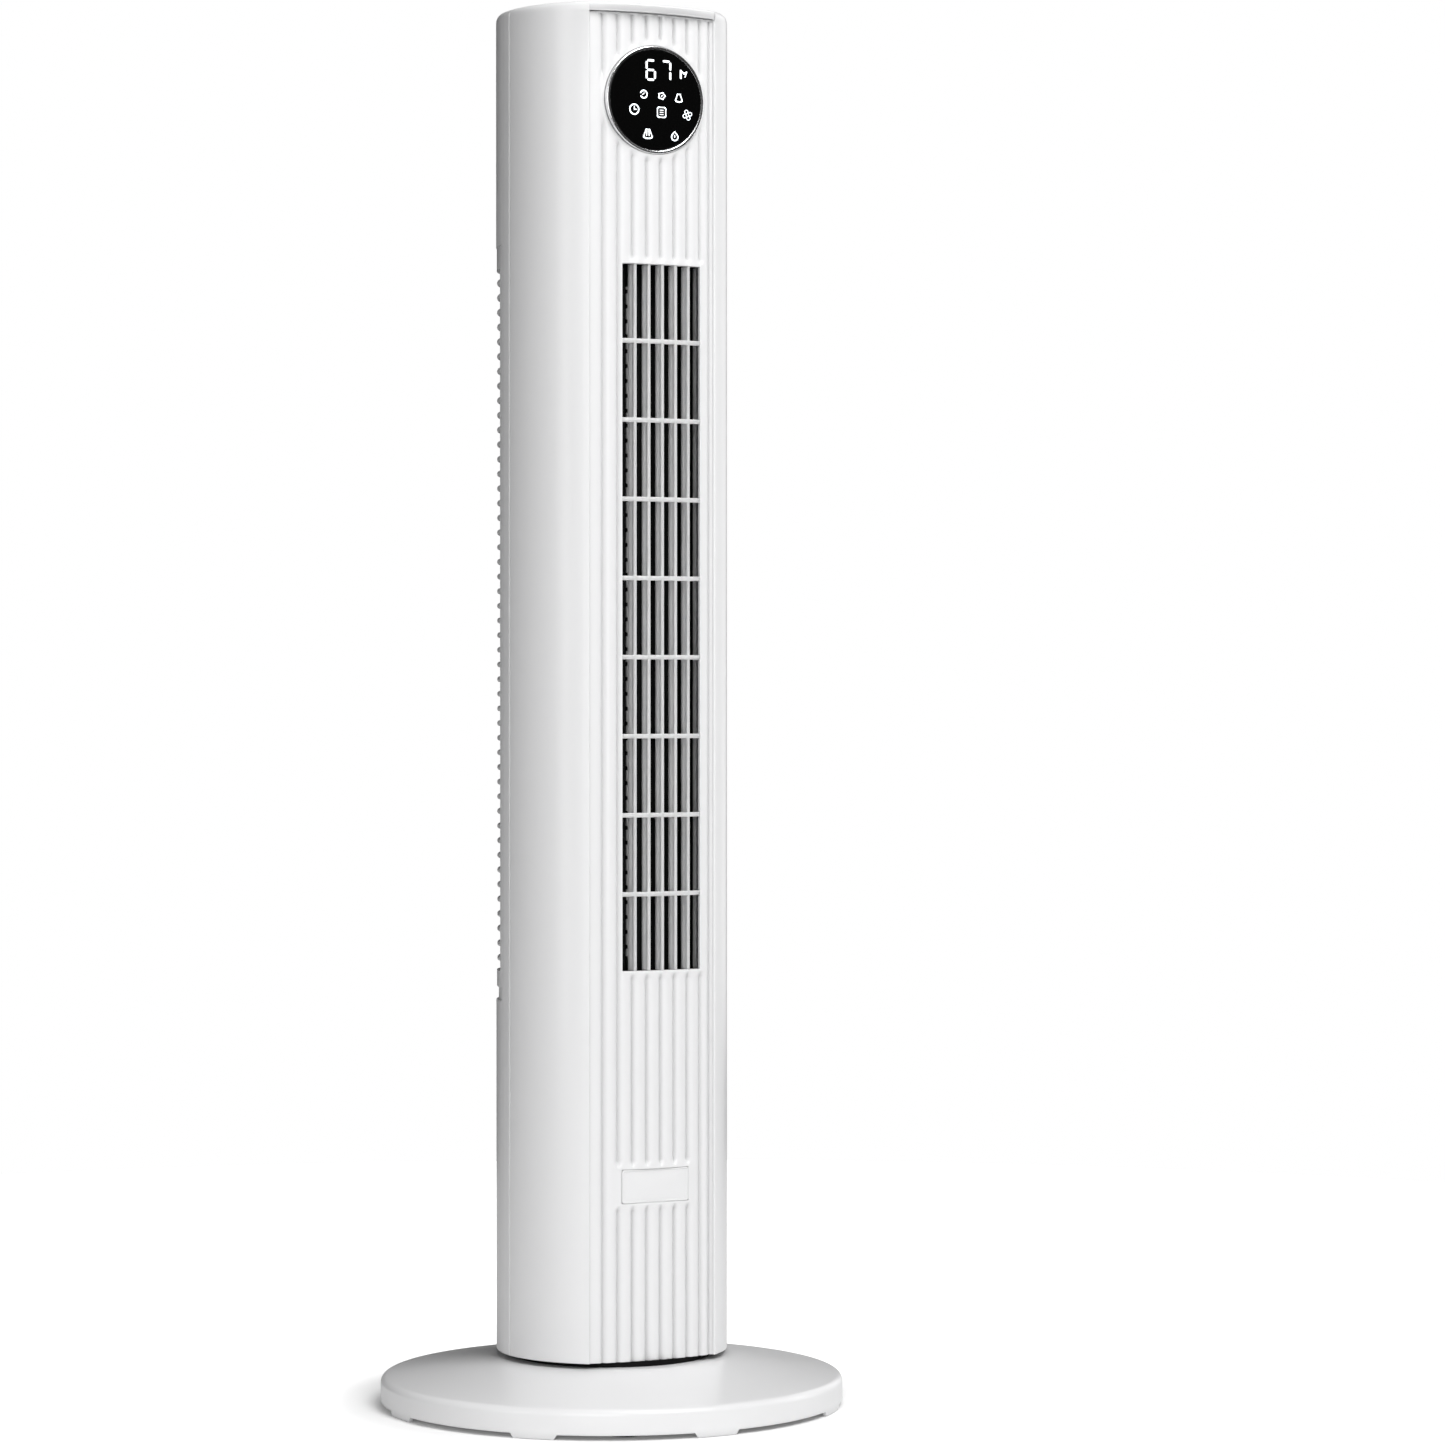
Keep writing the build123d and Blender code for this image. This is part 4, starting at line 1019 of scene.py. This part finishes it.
def digit(x, z, segments):
    """Seven-segment figure; segments are named a to g in the usual order."""
    ends = {"a": ((-1, 1), (1, 1)), "b": ((1, 1), (1, 0)), "c": ((1, 0), (1, -1)), "d": ((-1, -1), (1, -1)),
            "e": ((-1, 0), (-1, -1)), "f": ((-1, 1), (-1, 0)), "g": ((-1, 0), (1, 0))}
    pieces = []
    for name in segments:
        (x0, z0), (x1, z1) = [(x + DIGIT_HALF_W * sx, z + DIGIT_HALF_H * sz) for sx, sz in ends[name]]
        trim = DIGIT_TRIM / math.hypot(x1 - x0, z1 - z0)
        pieces.append(dash((x0 + (x1 - x0) * trim, z0 + (z1 - z0) * trim),
                           (x1 - (x1 - x0) * trim, z1 - (z1 - z0) * trim), DIGIT_STROKE))
    return merge(*pieces)


def clock_icon(x, z):
    """Ring with two hands."""
    ring = arc_points(x, z, 3.2, 3.2, 0, 360)
    return merge(stroke(ring, 0.8), stroke([(x, z + 1.9), (x, z), (x + 1.5, z)], 0.65))


def list_icon(x, z):
    """Rounded frame round three rows."""
    frame_points = []
    for sx, sz, start in ((1, 1, 0), (-1, 1, 90), (-1, -1, 180), (1, -1, 270)):
        frame_points += arc_points(x + 1.9 * sx, z + 2.1 * sz, 1.1, 1.1, start, start + 90, 4)
    rows = [stroke([(x - 1.2, z + dz), (x + 1.2, z + dz)], 0.5) for dz in (-1.4, 0.0, 1.4)]
    return merge(stroke(frame_points + frame_points[:1], 0.7), *rows)


def fan_icon(x, z):
    """Four round blades about a centre."""
    blades = []
    for i in range(4):
        turn = math.radians(20 + 90 * i)
        cx, cz = x + 2.1 * math.cos(turn), z + 2.1 * math.sin(turn)
        blades.append(stroke(arc_points(cx, cz, 1.2, 1.2, 0, 360, 12), 0.4))
    return merge(*blades)


def nozzle_icon(x, z, half_w, half_h, width):
    """Spreading air stream: a narrow top and a wide curved foot."""
    outline = [(x - half_w * 0.4, z + half_h), (x - half_w, z - half_h * 0.7)]
    outline += arc_points(x, z - half_h * 0.7, half_w, half_h * 0.45, 180, 360, 10)
    outline += [(x + half_w * 0.4, z + half_h), (x - half_w * 0.4, z + half_h)]
    return stroke(outline, width)


def drop_icon(x, z):
    """Ring with a pointed top and a small mark inside."""
    tip = (x, z + 2.9)
    sides = arc_points(x, z - 0.5, 2.3, 2.3, 130, 410, 18)
    return merge(stroke([tip] + sides + [tip], 0.7), stroke([(x, z + 0.3), (x, z - 0.6)], 0.8))


def swirl_icon(x, z):
    """Open ring with a slanting dash inside."""
    ring = arc_points(x, z, 2.4, 2.4, -150, 160)
    return merge(stroke(ring, 0.75), stroke([(x - 0.9, z - 0.4), (x + 0.4, z + 0.8)], 0.6))


def leaf_icon(x, z):
    """Five-sided outline with a dot inside."""
    ring = arc_points(x, z, 2.4, 2.2, 0, 360, 5)
    return merge(stroke(ring, 0.8), dash((x - 0.3, z - 0.3), (x + 0.3, z + 0.2), 0.7))


def unit_icon(x, z):
    """Plain mark beside the figures: an upright with a short flag."""
    flag = [(x - 1.7, z + 2.2), (x + 0.5, z + 0.6), (x + 2.3, z + 1.7)]
    return merge(dash((x - 1.9, z + 2.3), (x - 1.9, z - 2.3), 1.4), stroke(flag, 0.9),
                 dash((x + 2.2, z + 1.4), (x + 1.2, z - 1.5), 0.8))


LEGENDS = merge(
    digit(-3.5, 19.2, "acdefg"), digit(7.6, 19.2, "abc"), unit_icon(20.1, 17.7),
    swirl_icon(-8.6, 3.3), leaf_icon(4.4, 2.9), nozzle_icon(16.8, 2.4, 2.4, 2.3, 0.8),
    clock_icon(-15.4, -6.8), list_icon(4.3, -7.7), fan_icon(23.0, -8.4),
    nozzle_icon(-5.6, -22.0, 3.1, 2.7, 0.75), stroke([(-6.3, -20.2), (-6.5, -23.2)], 0.7),
    stroke([(-4.9, -20.2), (-4.7, -23.2)], 0.7), drop_icon(13.8, -22.6))
show("window_legends", LEGENDS, "column", "display")


# ---------------------------------------------------------------- handle recess and comb
CUP_CORNER = 1.0
TRAY_CORNER = 0.6
TRAY_ROUND = 4.0
COMB_END = 6.0
COMB_GAP = 2.4
COMB_SPINE = 1.2
COMB_BLUNT = 0.2
COMB_ROOT = 0.1


def rounded_slot(half_x, z0, z1, corner, y_of):
    """Closed loop round a rectangle with rounded corners, seen from the back."""
    middle = (z0 + z1) / 2
    half_z = (z1 - z0) / 2
    points = []
    for sx, sz, start in ((1, 1, 0), (-1, 1, 90), (-1, -1, 180), (1, -1, 270)):
        for k in range(7):
            a = math.radians(start + 90 * k / 6)
            x = sx * (half_x - corner) + corner * math.cos(a)
            z = middle + sz * (half_z - corner) + corner * math.sin(a)
            points.append((x, y_of(x), z))
    return points


def handle_cup():
    """Open tray let into the back, with rounded corners and a rounded floor."""
    def rim_y(inset):
        return lambda x: math.sqrt((COLUMN_R - inset) ** 2 - x**2)

    floor_y = CUP_Y + CUP_WALL
    lip = WALL + FIT_GAP
    loops = [rounded_slot(CUP_X, CUP_Z[0], CUP_Z[1], CUP_CORNER, lambda x: CUP_Y)]
    loops.append(rounded_slot(CUP_X, CUP_Z[0], CUP_Z[1], CUP_CORNER, rim_y(lip)))
    loops.append(rounded_slot(HANDLE_X, HANDLE_Z[0], HANDLE_Z[1], TRAY_CORNER, rim_y(lip)))
    for k in range(6):
        a = math.pi / 2 * k / 5
        inset = TRAY_ROUND * (1 - math.cos(a))
        depth = floor_y + TRAY_ROUND * (1 - math.sin(a))
        loops.append(rounded_slot(HANDLE_X - inset, HANDLE_Z[0] + inset, HANDLE_Z[1] - inset,
                                  TRAY_CORNER + inset * 0.2, lambda x, depth=depth: depth))
    return loft(loops)


show("handle_tray", handle_cup(), "column", "white_plastic", "handle_cup")


def tongue_comb():
    """Strip along the duct's edge, just behind the leftmost slot, with blunt teeth pointing left."""
    x0, x1 = low("tongue_comb", X), high("tongue_comb", X)
    y0, y1 = low("tongue_comb", Y), high("tongue_comb", Y)
    z0, z1 = low("tongue_comb", Z), high("tongue_comb", Z)
    count = round((z1 - z0 - 2 * COMB_END) / SLAT_PITCH) + 1
    root = x1 - COMB_SPINE
    outline = [(x1, z0), (x1, z1), (x0, z1)]
    for i in reversed(range(count)):
        z = z0 + COMB_END + i * SLAT_PITCH
        top, bottom = z + COMB_GAP / 2, z - COMB_GAP / 2
        outline += [(x0 + COMB_BLUNT, top + COMB_BLUNT), (root, top - COMB_ROOT),
                    (root, bottom + COMB_ROOT), (x0 + COMB_BLUNT, bottom - COMB_BLUNT)]
    outline.append((x0, z0))
    return loft([[(x, y, z) for x, z in outline] for y in (y1, y0)])


show("comb_strip", tongue_comb(), "column", "grey_plastic", "tongue_comb")


# ---------------------------------------------------------------- stage, lights and backdrop
LIGHT_DISTANCE = 2.6
LIGHT_HEIGHT = 1.8
LIGHT_TARGET_Z = 0.45
FLOOR_R = 1500
GLOW_REACH = 1.6
GLOW_NEAR = 0.12
GLOW_FAR = 0.9
FILL_STRENGTH = 0.02


def add_area(name, azimuth, elevation, power, width=1.2):
    """Rectangular light aimed at the middle of the fan; its sizes are in metres and its angles in degrees."""
    data = bpy.data.lights.new(name, "AREA")
    data.shape = "RECTANGLE"
    data.size = width
    data.size_y = LIGHT_HEIGHT
    data.energy = power
    light = bpy.data.objects.new(name, data)
    bpy.context.scene.collection.objects.link(light)
    a = math.radians(azimuth)
    e = math.radians(elevation)
    light.location = (math.sin(a) * math.cos(e) * LIGHT_DISTANCE,
                      -math.cos(a) * math.cos(e) * LIGHT_DISTANCE,
                      LIGHT_TARGET_Z + math.sin(e) * LIGHT_DISTANCE)
    light.rotation_euler = (math.radians(90) - e, 0, a)
    light.visible_camera = False


def floor():
    """Pale floor: it takes the fan's shadows near the base, and glows to an even white further out."""
    piece = make_object("floor", *lathe_z([(0, -1.0), (FLOOR_R, -1.0), (FLOOR_R, 0), (0, 0)], (0, 0), 96))
    material, nodes, links, shader = new_material("floor")
    shader.inputs["Base Color"].default_value = (0.92, 0.92, 0.92, 1)
    shader.inputs["Roughness"].default_value = 0.9
    shader.inputs["Specular IOR Level"].default_value = 0.1
    shader.inputs["Emission Color"].default_value = (1, 1, 1, 1)
    place = nodes.new("ShaderNodeTexCoord").outputs["Object"]
    reach = nodes.new("ShaderNodeVectorMath")
    reach.operation = "LENGTH"
    links.new(place, reach.inputs[0])
    glow = nodes.new("ShaderNodeMapRange")
    glow.interpolation_type = "SMOOTHSTEP"
    glow.inputs["From Min"].default_value = BASE_R * MM
    glow.inputs["From Max"].default_value = BASE_R * MM * GLOW_REACH
    glow.inputs["To Min"].default_value = GLOW_NEAR
    glow.inputs["To Max"].default_value = GLOW_FAR
    links.new(reach.outputs["Value"], glow.inputs["Value"])
    seen = nodes.new("ShaderNodeLightPath")
    to_camera = nodes.new("ShaderNodeMath")
    to_camera.operation = "MULTIPLY"
    links.new(glow.outputs["Result"], to_camera.inputs[0])
    links.new(seen.outputs["Is Camera Ray"], to_camera.inputs[1])
    links.new(to_camera.outputs["Value"], shader.inputs["Emission Strength"])
    piece.data.materials.append(material)


def backdrop():
    """White to the camera, and a faint even fill for everything else."""
    world = bpy.data.worlds.new("backdrop")
    bpy.context.scene.world = world
    world.use_nodes = True
    nodes = world.node_tree.nodes
    links = world.node_tree.links
    white = nodes["Background"]
    white.inputs["Color"].default_value = (1, 1, 1, 1)
    white.inputs["Strength"].default_value = 1.0
    fill = nodes.new("ShaderNodeBackground")
    fill.inputs["Color"].default_value = (1, 1, 1, 1)
    fill.inputs["Strength"].default_value = FILL_STRENGTH
    seen = nodes.new("ShaderNodeLightPath")
    pick = nodes.new("ShaderNodeMixShader")
    links.new(seen.outputs["Is Camera Ray"], pick.inputs["Fac"])
    links.new(fill.outputs["Background"], pick.inputs[1])
    links.new(white.outputs["Background"], pick.inputs[2])
    links.new(pick.outputs["Shader"], nodes["World Output"].inputs["Surface"])


floor()
backdrop()
add_area("key", azimuth=10, elevation=50, power=57)
add_area("front_left", azimuth=-34, elevation=10, power=24)
add_area("left_strip", azimuth=-72, elevation=10, power=8, width=0.4)
add_area("right", azimuth=85, elevation=10, power=15)
add_area("right_edge", azimuth=120, elevation=10, power=9)
add_area("overhead", azimuth=0, elevation=85, power=13)
bpy.context.scene.view_settings.view_transform = "Standard"
